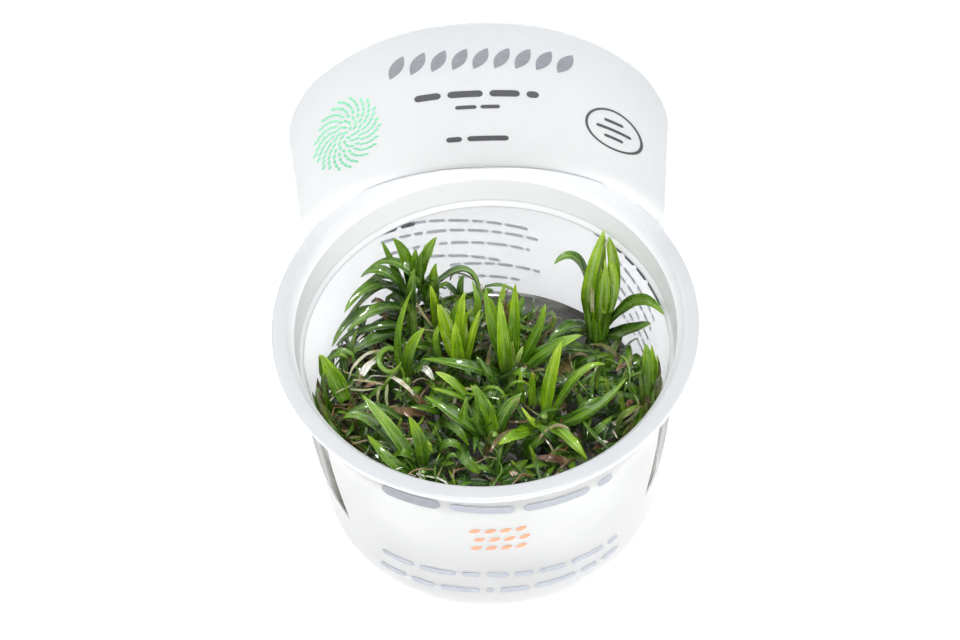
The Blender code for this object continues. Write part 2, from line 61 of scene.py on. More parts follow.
# Card sleeve, as packed
CARD_THICK = 0.0005
CARD_BOTTOM = 0.0008
CARD_BOTTOM_RADIUS = 0.04155
CARD_TOP_RADIUS = 0.04595
FRONT_TOP = 0.0570
SLIT_TIP = 0.0165
SLIT_TIP_ANGLE = math.radians(55)
SLIT_TOP_ANGLE = math.radians(56)
SLIT_BULGE = math.radians(2.5)
FRONT_TWIST = math.radians(3)
FLARE_START = 0.0220
FLARE_END = 0.0620
HEADER_HALF_WIDTH = 0.0434
HEADER_HEIGHT = 0.1085
HEADER_CROWN_RADIUS = 0.150
HEADER_CORNER = 0.0075
HEADER_LEAN = math.radians(3)
HEADER_A = 0.0503
HEADER_B = 0.04605
HEADER_POWER = 2.3
SLOT_HALF_WIDTH = 0.0368
SLOT_BOTTOM = 0.0572
SLOT_TOP = 0.0610
SLOT_NEAR = 0.0300
SLOT_FAR = 0.0600

# Gel and undergrowth, as packed
GEL_TOP = 0.0170
CLEARANCE = 0.0003
GEL_RADIUS_BOTTOM = 0.0396
GEL_RADIUS_TOP = 0.0410
ROOT_DEPTH = 0.0080
MAT_RADIUS = 0.0404
MAT_NOTCH_DEPTH = 0.0140
MAT_NOTCH_ANGLE = math.radians(66)
MAT_NOTCH_SPREAD = math.radians(24)
LEAF_THICK = 0.00062
LEAF_FOLD = 0.16

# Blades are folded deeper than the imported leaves, and so catch more light
BLADE_FOLD = 0.24

# Undergrowth: height and slope of its mound, and how many of each thing grow in it
MOUND_HEIGHT = 0.0300
MOUND_SLOPE = 0.11
SHOOT_COUNT = 84
SHOOT_SPACING = 0.0054
STRIP_COUNT = 230
EDGE_STRIP_COUNT = 110
PRESSED_COUNT = 260
ROOT_COUNT = 150
SCRAP_COUNT = 46

# Strips pressed against the wall reach to just under the ledge by the card's slits, and
# less high more than SLIT_REACH radians behind them, where the mouth would show them
PRESSED_TOP = 0.0482
PRESSED_TOP_BACK = 0.0360
SLIT_REACH = 0.18

# Each stem: foot on the gel, top, and radius at the foot, as packed
STEMS = {
    "back_left": ((-0.0188, 0.0235), (-0.0184, 0.0250, 0.0400), 0.0011),
    "back_middle": ((-0.0124, 0.0205), (-0.0124, 0.0208, 0.0290), 0.0009),
    "back_right": ((0.0275, 0.0212), (0.0277, 0.0225, 0.0290), 0.0013),
    "centre_left": ((-0.0070, 0.0110), (-0.0070, 0.0115, 0.0290), 0.0010),
    "centre_right": ((0.0052, 0.0090), (0.0053, 0.0095, 0.0290), 0.0011),
    "left": ((-0.0200, 0.0060), (-0.0200, 0.0065, 0.0280), 0.0010),
    "right": ((0.0130, -0.0060), (0.0133, -0.0055, 0.0280), 0.0011),
    "front_centre": ((0.0010, -0.0100), (0.0010, -0.0098, 0.0270), 0.0011),
    "front_left": ((-0.0158, -0.0205), (-0.0162, -0.0210, 0.0290), 0.0011),
}

# Each stem's leaves, as packed and in mm: the height where a leaf leaves the stem, the point
# halfway along it, its tip and its width; then its tone, from 0 for deep green to 1 for pale
# yellow-green
LEAVES = {
    "back_left": (
        (39.6, (-14.4, 29.4, 46.5), (-11.5, 31, 53), 3.8, 0.45),
        (36.8, (-19.6, 30, 46), (-22.3, 31.8, 52), 3.4, 0.35),
        (33.8, (-22.8, 30.2, 43.2), (-25.2, 33.5, 49), 2, 0.35),
        (39, (-25.4, 26.4, 45.8), (-30.8, 27.4, 42.5), 3.4, 0.3),
        (35, (-27.2, 25.8, 41), (-35, 19, 39.2), 3.8, 0.15),
        (32.5, (-27, 21.3, 37), (-34.3, 16.5, 35), 3.4, 0.15),
        (29, (-30.5, 22.5, 34.5), (-38.5, 14, 31.8), 3.6, 0.1),
        (26.2, (-28.5, 17, 30.5), (-36.8, 13, 28.2), 3.2, 0.1),
        (37.5, (-12.8, 26.2, 42.2), (-12.2, 24, 34.5), 3.2, 0.15),
        (34.5, (-4.8, 30, 40.5), (-1.8, 22, 30), 2.8, 0.2),
        (37, (-18, 22.8, 42.5), (-17.2, 25, 48.5), 2.8, 0.3),
    ),
    "back_middle": (
        (28, (-13, 22.4, 37), (-13.6, 23.9, 43), 2.4, 0.92),
    ),
    "back_right": (
        (28.6, (25.6, 23.2, 43.5), (29.3, 29.2, 56.5), 3.6, 0.8),
        (28.4, (31.4, 25.2, 43.5), (30.2, 28.4, 54.5), 3.6, 0.75),
        (27.6, (28.2, 20.3, 39.5), (29.2, 24.2, 48), 2.4, 0.6),
        (26.8, (28.3, 28.6, 42), (29.2, 31.6, 53), 3.2, 0.8),
        (25.2, (23, 29, 43.5), (16.8, 27.5, 45), 3.4, 0.3),
        (26.2, (37, 15, 46), (42.4, 6.8, 50.5), 3.4, 0.4),
        (24, (35.5, 14.2, 35), (39.8, 11.8, 41), 3.8, 0.1),
        (24, (20.5, 18.5, 31.8), (14.5, 14, 30), 3.4, 0.1),
    ),
    "centre_left": (
        (26.2, (-10.4, 15, 36), (-11.7, 17.5, 44), 3, 0.95),
        (25.8, (-3.6, 13.5, 35), (-1.4, 16.5, 42.5), 2.6, 0.9),
        (28.4, (-6.6, 15, 38), (-5.2, 19, 46.5), 3, 0.85),
        (27, (-7.4, 9.2, 36), (-7.6, 12, 43.5), 3.4, 0.8),
    ),
    "centre_right": (
        (28, (1, 14.2, 39), (0.1, 20, 47), 2.6, 0.55),
        (28.4, (4, 7.6, 39), (3.4, 14.5, 49.5), 3.6, 0.65),
        (27.2, (6.8, 14.6, 38), (7.3, 20, 48), 3.2, 0.6),
        (25.8, (12.2, 13.8, 35), (14.4, 18, 42), 2.8, 0.5),
        (24, (14.5, 10.4, 32.6), (23.2, 12.4, 36.2), 3.8, 0.4),
        (24, (-4.6, 6, 33), (-16.2, 9.8, 32), 3.4, 0.3),
    ),
    "left": (
        (27.2, (-18.6, 9.2, 36), (-15, 11.8, 42), 3.4, 0.6),
        (24.8, (-21.8, 12.8, 37), (-17.6, 19.2, 48), 1.8, 0.5),
    ),
    "right": (
        (27.4, (15.3, -0.6, 37.5), (18, 3.2, 46.5), 3.4, 0.9),
        (25, (21.9, -1.8, 39), (28.4, 0.4, 40), 2.6, 0.65),
        (24.2, (25.2, -7.6, 32.5), (33, -3.6, 39.8), 4, 0.4),
        (26.8, (10.5, -10.8, 32.5), (7.8, -7.5, 35), 2.4, 0.9),
        (24, (6.8, -13.5, 31.5), (2, -16, 31.5), 3.4, 0.75),
        (26.2, (17.8, -14.5, 32.5), (23.2, -20, 30), 3.4, 0.65),
    ),
    "front_centre": (
        (26, (4, -6.8, 31), (8, -3.6, 35), 4.6, 0.1),
        (26.4, (-1.8, -6.4, 33.5), (-3.2, -3, 38.5), 3.8, 0.35),
        (24.5, (-7.5, -8.8, 32.5), (-15.5, -3.4, 35), 3.2, 0.3),
    ),
    "front_left": (
        (27.4, (-23.2, -14.5, 36.8), (-30, -7.5, 42), 3.2, 0.55),
        (24, (-27.2, -10, 32.8), (-35, -9, 34.5), 3.2, 0.35),
        (25.2, (-23.8, -20.6, 33), (-29.2, -14.2, 35.2), 3, 0.5),
        (28.4, (-16.6, -17, 36), (-18.8, -14.2, 42), 3.4, 0.5),
    ),
}

# The two that come up by the wall, each with its foot in place of that height
WALL_LEAVES = {
    "left_wall_leaf": ((-35.5, 1.5, 27), (-38.2, 4.8, 32.5), (-40.2, 8, 37.5), 4, 0.6),
    "right_wall_leaf": ((38.5, 1, 26), (39, 4.8, 32), (38.3, 8.8, 37), 3.4, 0.45),
}

# How far some of those leaves are rolled about their own length, in degrees
ROLLS = {"back_right_leaf_6": 50, "back_right_leaf_7": 30}

# Smaller leaves, strips and withered bits between the stems, which CAD has inside its one
# mound: points along each in mm, its width in mm and its tone; then, where they aren't 0,
# how withered it is from 0 to 1 and its roll about its own length in degrees. A separate
# program worked out X and Y, from places picked in the photo and heights judged by eye
CROWD = (
    # Left, by the wall and under the back left shoot
    (((-27.8, 26.8, 35), (-26, 25, 32), (-24.1, 20.9, 25)), 0.9, 0.5, 0.85),
    (((-17.7, 23.8, 37), (-15.6, 21.4, 34), (-13.5, 20.7, 30)), 0.8, 0.8, 0.7),
    (((-30.9, 6, 31), (-29.3, 8.4, 32), (-27.2, 9.6, 31.5)), 1.7, 1, 1, 20),
    (((-23.4, 4.6, 31.5), (-21.6, 2.6, 32.5), (-19.4, 0.6, 32), (-18.2, -0.4, 30.5)), 1.5, 1, 1, -20),
    (((-16, 7.8, 30.5), (-14.8, 6.4, 31.8), (-13.2, 4.2, 30.5)), 1.8, 1, 1, 30),
    (((-21.5, 12, 30), (-22.6, 12.8, 32), (-24.5, 12.8, 33), (-26.3, 11, 33.5), (-26.7, 8.8, 33),
      (-25.5, 7, 32), (-23.5, 6.7, 31.5), (-21.9, 8.5, 31), (-20.9, 10.9, 31)), 1.5, 0.75, 0, 55),
    (((-21.4, 9, 30), (-23.4, 6.6, 30), (-25.7, 5.1, 28)), 1.3, 0.6, 0.1, 20),
    (((-24.6, 3, 31), (-25, 0.7, 29), (-24.6, -1.6, 26)), 0.8, 0.85, 0.5, 10),
    (((-26.4, 2.7, 31), (-27.1, 1.1, 29), (-27, -0.7, 26)), 0.7, 0.8, 0.6, 10),
    (((-26.3, 12.7, 32), (-29.9, 10.7, 33), (-33.1, 7.6, 32), (-34.4, 5.9, 29)), 0.9, 0.9, 0.8),
    (((-27.5, 10.7, 32), (-30.9, 7, 31.5), (-32.1, 5, 28)), 0.8, 0.8, 0.8),
    (((-32.9, 4.7, 31), (-29.3, 3.4, 32), (-26.1, 4.3, 30)), 0.6, 0.9, 0.8),
    (((-33.7, 2.6, 30), (-30.6, 1.5, 31), (-27.5, 2.7, 30)), 0.7, 0.8, 0.5),
    (((-38.6, 1.6, 29), (-36.3, 2.3, 30), (-33.5, 4.7, 29)), 0.5, 0.9, 0.7),
    (((-40.8, -2.1, 28), (-39, -0.2, 29), (-37, 3.1, 28)), 0.5, 0.9, 0.8),
    (((-35.1, 4.9, 27), (-38.5, 8.1, 32), (-41.4, 9.3, 36)), 2.6, 0.8, 0, -30),
    (((-38.2, 4.9, 26), (-41, 7.4, 31), (-42.1, 9, 36)), 2, 0.45, 0, 20),
    (((-38.5, 12, 27), (-37.9, 12.5, 31), (-35.6, 12.9, 32), (-33.5, 12.3, 31),
      (-33.6, 11, 29)), 1.8, 0.2, 0, 40),
    (((-39.3, 10.7, 26), (-39, 11.7, 30), (-36.4, 12, 32), (-34.2, 11.1, 31)), 1.4, 0.45, 0, 20),
    (((-33.9, 13.6, 28), (-33.1, 14.5, 33), (-31.7, 15, 38)), 1.4, 0.55),
    (((-32.3, 16.4, 31), (-31.3, 17.5, 31.5), (-30.1, 18.9, 31)), 0.6, 0.9, 1),
    (((-32.6, 16.9, 28), (-29.7, 16.4, 30), (-27.1, 15.9, 28)), 1.1, 0.1, 1, 10),
    (((-28.7, 27.8, 32), (-26.9, 27.4, 33), (-24.8, 27.4, 31)), 1.2, 0.2, 1),
    (((-25.6, 28.9, 30), (-25.4, 28, 29), (-26.1, 28.1, 26)), 1, 0.2, 1),
    # Front left
    (((-21.7, -5.5, 28), (-25.7, -5.3, 32), (-29.9, -5.8, 34), (-35.6, -6.3, 31)), 3, 0.1),
    (((-16.9, -18.7, 27), (-20.6, -18.5, 33), (-24.2, -17.8, 29)), 2.4, 0.45, 0, 10),
    (((-17.3, -14.2, 29), (-15.1, -16.1, 33), (-13.7, -16.7, 30)), 2, 0.85),
    (((-31.2, -5.1, 28), (-35.3, -4.6, 29), (-39.1, -5.4, 30)), 2, 0.1, 0.95, 10),
    (((-32.1, -7.2, 22), (-32.5, -6.8, 27), (-30.7, -6.3, 31)), 1.6, 0.2, 0, 20),
    (((-29.9, -9.3, 22), (-31, -9.2, 27), (-29.2, -8.2, 31)), 1.8, 0.3, 0.1),
    (((-27.4, -10.6, 22), (-27.7, -11.1, 28), (-25.9, -9.5, 31)), 1.6, 0.2, 0, 30),
    (((-34.4, -3.9, 22), (-35.2, -4.3, 27), (-33.7, -2.7, 31)), 1.4, 0.35, 0.3),
    (((-20.7, -16.5, 27), (-23.5, -14, 29), (-28.3, -12.8, 30)), 2, 0.15),
    (((-33.4, -6.7, 27), (-32.1, -6.1, 29), (-30.5, -4.6, 28)), 1.4, 0.2, 1, 20),
    (((-21.7, -10.2, 28), (-21.7, -10.3, 32), (-20.8, -10.5, 36)), 1.8, 0.85, 0.05),
    # Front centre
    (((-11.2, -7.7, 29), (-9.4, -10.6, 32.5), (-7.2, -12.8, 33), (-5, -14.4, 29)), 2.2, 0.22, 0, 15),
    (((-3.4, -10.7, 26), (-6.3, -8.5, 32), (-5.2, -5.6, 37)), 2.8, 0.32, 0, 15),
    (((0.7, -9.1, 26), (-0.7, -6.2, 33), (-4.2, -2.7, 38)), 3.2, 0.62, 0, -20),
    (((-1.5, -10.1, 26), (-3.2, -8.3, 32), (-2.5, -4, 35)), 2.4, 0.4, 0, 30),
    (((-12.1, -16.4, 26), (-11.7, -16.3, 31), (-9.7, -16.2, 33), (-7.6, -16.3, 32),
      (-7, -16.9, 29)), 2.6, 0.18, 0, 25),
    (((-6.9, -14.6, 29), (-5.7, -20, 31.5), (-2.5, -21.8, 28)), 3, 0.22),
    (((-9.3, -18.5, 25), (-10.3, -18.8, 29), (-9, -18.2, 31), (-7.4, -18.7, 30)), 2, 0.12, 0, 20),
    (((-5.3, -1.6, 30), (-9.3, -1.8, 33), (-13.5, -1.4, 35)), 2, 0.75, 0, 10),
    (((-5.8, -0.8, 31), (-9, 0.7, 35), (-12.8, 2.2, 37)), 2.2, 0.82, 0, -10),
    (((-2.1, -0.6, 31), (-0.1, -0.9, 34), (2.1, -1.6, 34.5), (3.7, -2.5, 33),
      (3.9, -3.1, 30)), 0.9, 0.75, 0, 20),
    (((4.1, 0.3, 31), (6.2, 0.2, 34), (8.2, 0.2, 34.5), (10.1, -0.1, 33)), 0.8, 0.75),
    (((2.9, -9, 25), (4.3, -6.7, 30), (7.6, -5, 35)), 4.4, 0.45, 0.6),
    (((8.1, -0.6, 27), (7.7, 0.4, 32), (7.9, 2.1, 36)), 1.8, 0.62),
    (((10.3, -1.5, 27), (10.6, -0, 32), (10.7, 1.3, 37)), 1.8, 0.68, 0, 10),
    (((11.1, -19.3, 23), (10.5, -18.3, 28), (9.5, -17.4, 33)), 1.5, 0.85),
    (((6.7, -19.2, 23), (6.1, -20.1, 28), (5.1, -20.1, 31)), 1.4, 0.9),
    (((19, -19, 27), (15, -19.6, 30), (10.9, -18.9, 30)), 2.4, 0.3, 1),
    (((-1.1, -14.4, 25), (-0.2, -13.4, 29), (0.6, -12, 32)), 1.6, 0.3, 0.55),
    (((2.2, -19.9, 23), (-0.6, -20.8, 28), (-4.8, -20.8, 30)), 2.2, 0.15),
    (((15.7, -18, 23), (13, -19.8, 28), (8, -21.8, 30)), 2, 0.2, 0, 10),
    (((-14.7, -17.2, 22), (-12.1, -18.9, 28), (-8.4, -19.8, 30)), 2.2, 0.1),
    # Right
    (((21.1, 7.1, 33), (20.9, 5.4, 31), (21.8, 3.9, 29), (24.6, 0.9, 27)), 0.5, 0.7),
    (((27.9, 0.9, 40), (26.8, 0.8, 37), (26.2, -0.8, 31)), 1.3, 0.55, 0.1, 20),
    (((29.6, -1.9, 32), (31.4, -4.4, 33.5), (32.4, -5.8, 29)), 1.8, 0.5, 0.15),
    (((30.8, -10.2, 26), (31.7, -8.9, 31), (34, -7.9, 33), (36.7, -5.2, 31)), 1.5, 0.55, 0.15),
    (((39.5, 1.3, 24), (40.6, 3.9, 30), (39.8, 8.4, 37)), 1.8, 0.75),
    (((41, 1.2, 24), (41.7, 1.8, 29), (41.1, 6.8, 35)), 1.5, 0.6, 0, 15),
    (((38.1, -0.4, 23), (38.5, 3.5, 29), (38.1, 8.5, 35)), 1.3, 0.3, 0.7),
    (((37, -1.8, 23), (37.2, -0.3, 28), (36.9, 3.8, 32)), 1.2, 0.35, 0.2),
    (((28.9, -1.2, 31), (28.6, -0.2, 33), (28.3, 0.4, 35)), 1.3, 0.6, 0.15),
    # Back and centre
    (((-0.3, 28.3, 36), (2.7, 27.2, 38), (5.9, 26.8, 37), (8.8, 26.2, 34)), 1.1, 0.55),
    (((15.9, 24, 31), (16.9, 22.5, 30), (16, 22, 27), (14, 20.7, 25),
      (11.4, 19.1, 24)), 1.2, 0.85, 0.1, 10),
    (((4.3, 17.9, 44), (5.2, 16.3, 38), (6.6, 14.4, 31)), 1.1, 0.4, 0.75),
    (((4.9, 9.3, 31), (4.5, 10.2, 34), (5.3, 11.4, 36)), 2.2, 0.5, 0.55),
    (((7.1, 8.6, 31), (7.9, 9.6, 33), (8.7, 11.2, 34)), 1.4, 0.8, 0.2),
    (((21.5, 16.2, 27), (16.7, 11.6, 31), (11.7, 8.7, 29)), 3.2, 0.08),
    (((25.2, 14.6, 26), (19.2, 13.3, 29), (14.8, 13.6, 28)), 2.6, 0.05),
    (((2.2, 3.3, 26), (-0.6, 5.9, 31), (-2.9, 9.4, 33)), 3, 0.12, 0, 20),
    (((-12.1, 0.7, 25), (-9, -4.4, 30), (-4.7, -6.2, 29)), 3, 0.1),
    (((20.7, -6.5, 25), (23.4, -5, 30), (27.9, -2.3, 31)), 2.8, 0.12),
    (((23, -10.3, 24), (26.1, -10.9, 29), (29.8, -7.6, 30)), 2.4, 0.15, 0, 10),
    (((17.3, 1.1, 25), (18.8, 2, 30), (22.4, 6.2, 31)), 2.6, 0.08, 0, 20),
    (((-4.6, 18.7, 25), (-2.9, 18.8, 31), (-0.7, 22, 34)), 2.4, 0.15),
    (((-9.1, 18.8, 25), (-9.8, 19.2, 30), (-8.7, 21.2, 33)), 2.4, 0.2, 0, 10),
    (((-4.3, 29, 30), (-3.5, 21.8, 32), (-2.8, 18.7, 27)), 2.6, 0.25),
    (((0.4, 23.5, 30), (0.1, 24.8, 34), (-1.3, 26.3, 37)), 1.8, 0.2),
    # Back left shoot
    (((-17.5, 26.8, 40), (-16.9, 28.3, 46), (-16.8, 29.6, 50.5)), 3, 0.3, 0, 10),
    (((-16.1, 26.3, 39), (-15.6, 27, 46), (-15.4, 28.1, 51)), 2.6, 0.08, 0, -10),
    (((-15.4, 25.5, 33), (-16.2, 25.7, 41), (-19.7, 28, 45), (-24.4, 30.1, 45),
      (-30.6, 30.9, 41.5)), 3.2, 0.3),
    (((-14.7, 24.8, 36), (-12.7, 25.4, 42), (-11.9, 26.9, 48)), 3.4, 0.4, 0, 20),
    (((-20.9, 26.7, 33), (-22.8, 26.9, 39), (-27.9, 25.5, 39), (-35, 21.9, 33)), 2.8, 0.12),
    (((-20.5, 27.5, 36), (-21.6, 26.7, 42), (-26, 27.8, 42), (-32, 26.8, 37.5)), 3, 0.18),
    (((-21, 22.5, 27), (-24.6, 20.1, 32), (-33.6, 18.7, 31), (-39, 17.8, 28)), 2.6, 0.1),
    (((-22.2, 26.2, 20), (-21.5, 25.4, 29), (-20.9, 25, 36)), 1.6, 0.45),
    (((-20.1, 25.1, 20), (-19.5, 24.7, 29), (-18.8, 24.4, 38)), 1.5, 0.6),
    # Back right shoot
    (((26, 19.5, 36), (26.2, 22.3, 42), (28, 26, 49), (29.3, 28.2, 52)), 1.2, 0.8, 0.55),
    (((28.8, 19.1, 36), (29.6, 22.6, 43), (29.1, 26.1, 48.5)), 1.8, 0.95),
    (((27.4, 20.2, 35), (27.7, 22.4, 41), (28.3, 25.3, 46)), 1.8, 0.6),
    (((30.3, 20.1, 35), (31.4, 23, 42), (30.3, 26.9, 49), (29.7, 28.8, 52.5)), 2.2, 0.9, 0, 25),
    (((25.6, 18.9, 26), (24.9, 20.7, 32), (24.5, 23, 38)), 2.8, 0.3, 0, 20),
    (((27.1, 18.4, 25), (27.1, 20.1, 31), (27.3, 21.1, 37)), 2.6, 0.45),
    (((28.6, 18.2, 26), (29.6, 20, 31), (30.6, 21.6, 37)), 2.8, 0.35, 0, -20),
    # Centre shoots
    (((-6.5, 13.2, 28), (-9.1, 16.2, 36), (-11.4, 19, 42)), 2.4, 0.97, 0.1),
    (((-8, 12.1, 27), (-9.5, 13.7, 32), (-10.9, 14.9, 37)), 2.2, 0.95),
    (((-11.5, 12.1, 28), (-12.5, 12.6, 32), (-12.6, 14.2, 36), (-11, 16.2, 39)), 1.6, 0.6),
    (((-5.6, 13, 29), (-5.7, 15.8, 36), (-7.4, 17.7, 40)), 1.7, 0.9, 0.3),
    (((-5.5, 14.2, 29), (-5.3, 17, 38), (-3.5, 17.8, 41)), 1.8, 0.7),
    (((-8.7, 17.3, 35), (-7.4, 18.1, 40), (-4.6, 20.1, 45)), 1.9, 0.7),
    (((-3.8, 21.3, 26), (-2.8, 22.2, 31), (-2.2, 24.3, 36), (-3.4, 28.3, 39)), 2, 0.55),
    (((2.7, 16.5, 37), (3.8, 18.4, 43), (4.9, 20.2, 48)), 2, 0.85),
    (((5.7, 7.9, 22), (5.9, 10.1, 29), (6.1, 11.4, 36)), 2.3, 0.88, 0.15),
    (((3.6, 13.4, 28), (2, 15.8, 38), (1, 18.6, 44.5)), 2.8, 0.5),
    (((4.2, 14, 28), (4.9, 16.5, 37), (5.9, 18.9, 43)), 2.4, 0.6),
    (((3.8, 13, 26), (3.1, 15.2, 33), (2.6, 17, 40)), 2.2, 0.35),
)

# Print: its gap to the card, its top above the card, and the radius that turns an angle on
# the panels into a width
PRINT_GAP = 0.00004
PRINT_TOP = PRINT_GAP + 0.00005
PANEL_RADIUS = 0.0462
DARK_INK = (0.13, 0.13, 0.14)
GREY_INK = (0.30, 0.31, 0.34)
PALE_INK = (0.40, 0.42, 0.47)
FAINT_INK = (0.70, 0.72, 0.76)
GREEN_INK = (0.32, 0.76, 0.50)
ORANGE_INK = (0.86, 0.36, 0.22)

# Where the painted shade on the clear wall by the slits starts and ends, in Y
SHADE_FRONT = -0.031
SHADE_BACK = -0.003

# Camera, from a fit to the cup's rings and the card's edges
CAMERA_LENS = 90
CAMERA_SENSOR = 36
CAMERA_TURN = math.radians(1.8)
CAMERA_ELEVATION = math.radians(53.0)
CAMERA_ROLL = math.radians(-3.22)
CAMERA_DISTANCE = 0.5596
CAMERA_TARGET = (-0.00114, 0.0, 0.06006)


def ramp(low, high, value):
    """0 below low, 1 above high, and an S-curve between."""
    t = min(1.0, max(0.0, (value - low) / (high - low)))
    return t * t * (3 - 2 * t)


# Materials

# A noise seldom leaves this range
NOISE_LOW = 0.3
NOISE_HIGH = 0.7


class Nodes:
    """A material's node tree, with short calls to add and link nodes."""

    def __init__(self, name):
        self.material = bpy.data.materials.new(name)
        self.material.use_nodes = True
        self.tree = self.material.node_tree
        self.shader = self.tree.nodes["Principled BSDF"]

    def add(self, kind, **settings):
        node = self.tree.nodes.new("ShaderNode" + kind)
        for key, value in settings.items():
            setattr(node, key, value)
        return node

    def link(self, source, target):
        self.tree.links.new(source, target)

    def set(self, **values):
        """Sets the shader's own sockets; an underscore stands for a space."""
        for key, value in values.items():
            self.shader.inputs[key.replace("_", " ")].default_value = value

    def attribute(self, name):
        return self.add("Attribute", attribute_name=name).outputs["Fac"]

    def object_point(self):
        return self.add("TexCoord").outputs["Object"]

    def axis(self, letter):
        """A point's own X, Y or Z."""
        node = self.add("SeparateXYZ")
        self.link(self.object_point(), node.inputs[0])
        return node.outputs[letter]

    def math(self, operation, first, second=0.0, third=0.0):
        node = self.add("Math", operation=operation)
        for socket, value in zip(node.inputs, (first, second, third)):
            if isinstance(value, (int, float)):
                socket.default_value = value
            else:
                self.link(value, socket)
        return node.outputs[0]

    def noise(self, scale, detail=2.0, roughness=0.5, vector=None):
        node = self.add("TexNoise")
        node.inputs["Scale"].default_value = scale
        node.inputs["Detail"].default_value = detail
        node.inputs["Roughness"].default_value = roughness
        self.link(vector or self.object_point(), node.inputs["Vector"])
        return node.outputs["Fac"]

    def colours(self, factor, stops):
        """A colour ramp from (position, (r, g, b)) stops."""
        node = self.add("ValToRGB")
        ramp_points = node.color_ramp.elements
        while len(ramp_points) < len(stops):
            ramp_points.new(0.5)
        for point, (position, colour) in zip(ramp_points, stops):
            point.position = position
            point.color = (*colour, 1)
        self.link(factor, node.inputs["Fac"])
        return node.outputs["Color"]

    def mottled(self, first, second, scale, detail=2.0, roughness=0.5):
        """Two colours that run into each other, as a noise goes."""
        noise = self.noise(scale, detail, roughness)
        return self.colours(noise, ((NOISE_LOW, first), (NOISE_HIGH, second)))

    def mix(self, factor, first, second, blend="MIX"):
        node = self.add("Mix", data_type="RGBA", blend_type=blend)
        for index, value in ((0, factor), (6, first), (7, second)):
            socket = node.inputs[index]
            if isinstance(value, (int, float)):
                socket.default_value = value
            elif isinstance(value, tuple):
                socket.default_value = (*value, 1)
            else:
                self.link(value, socket)
        return node.outputs[2]

    def between(self, value, low, high, out_low=0.0, out_high=1.0):
        node = self.add("MapRange", clamp=True)
        for socket, number in zip(node.inputs[1:5], (low, high, out_low, out_high)):
            socket.default_value = number
        self.link(value, node.inputs[0])
        return node.outputs[0]

    def uneven(self, low, high, scale, detail=2.0):
        """A value that wanders from low to high, as a noise goes."""
        return self.between(self.noise(scale, detail), NOISE_LOW, NOISE_HIGH, low, high)

    def bump(self, height, strength, distance):
        node = self.add("Bump")
        node.inputs["Strength"].default_value = strength
        node.inputs["Distance"].default_value = distance
        self.link(height, node.inputs["Height"])
        self.link(node.outputs["Normal"], self.shader.inputs["Normal"])

    def colour(self, source):
        self.link(source, self.shader.inputs["Base Color"])

    def roughness(self, low, high, scale):
        self.link(self.uneven(low, high, scale), self.shader.inputs["Roughness"])


def leaf_material():
    """Wet leaf: dark at the foot, yellow-green at the tip, fine lengthwise veins, pale
    midrib and underside. The mesh says how far along and across the leaf a point is, how
    bright the leaf is, how withered, and how pale down its middle."""
    m = Nodes("wet leaf")
    along = m.attribute("along")
    across = m.attribute("across")
    tone = m.attribute("tone")
    off_rib = m.math("ABSOLUTE", across)
    vein = m.math("SINE", m.math("MULTIPLY", across, 24.0))
    lengthwise = m.add("CombineXYZ")
    for socket, value, stretch in zip(lengthwise.inputs, (across, along, tone), (2.4, 0.9, 31.0)):
        m.link(m.math("MULTIPLY", value, stretch), socket)
    streak = m.between(m.noise(2.2, vector=lengthwise.outputs[0]), 0.32, 0.68, -0.16, 0.16)
    place = m.math("MULTIPLY_ADD", m.math("POWER", along, 1.6), 0.42, m.math("MULTIPLY", tone, 0.50))
    place = m.math("ADD", place, m.uneven(-0.08, 0.10, 230, 3))
    place = m.math("ADD", place, m.math("MULTIPLY_ADD", vein, 0.035, streak))
    green = m.colours(place, (
        (0.0, (0.007, 0.028, 0.002)),
        (0.22, (0.030, 0.092, 0.002)),
        (0.48, (0.110, 0.235, 0.003)),
        (0.74, (0.260, 0.430, 0.008)),
        (1.0, (0.520, 0.660, 0.060)),
    ))
    middle = m.math("MULTIPLY", m.between(off_rib, 0.05, 0.55, 1.0, 0.0), m.attribute("pale"))
    band = m.math("MULTIPLY", middle, m.math("MULTIPLY_ADD", vein, 0.25, 0.7))
    green = m.mix(band, green, (0.42, 0.56, 0.20))
    green = m.mix(m.between(off_rib, 0.03, 0.12, 0.40, 0.0), green, (0.24, 0.42, 0.06))
    under = m.math("MULTIPLY", m.math("SUBTRACT", 1.0, m.attribute("upper")), 0.35)
    green = m.mix(under, green, (0.22, 0.36, 0.08))
    dryness = m.math("ADD", m.math("MULTIPLY", tone, 0.75), m.uneven(-0.18, 0.22, 420, 3))
    straw = m.colours(dryness, (
        (0.0, (0.055, 0.022, 0.012)),
        (0.30, (0.19, 0.10, 0.055)),
        (0.60, (0.42, 0.36, 0.20)),
        (0.90, (0.70, 0.71, 0.66)),
    ))
    m.colour(m.mix(m.attribute("wilt"), green, straw))
    m.roughness(0.22, 0.38, 900)
    m.set(Subsurface_Weight=0.15, Subsurface_Radius=(0.4, 1.0, 0.1), Subsurface_Scale=0.0006)
    m.set(Coat_Weight=0.7, Coat_Roughness=0.04, Specular_IOR_Level=0.4)
    m.bump(m.math("ADD", m.math("MULTIPLY", vein, 0.5), m.noise(900, 3)), 0.55, 0.00020)
    return m.material


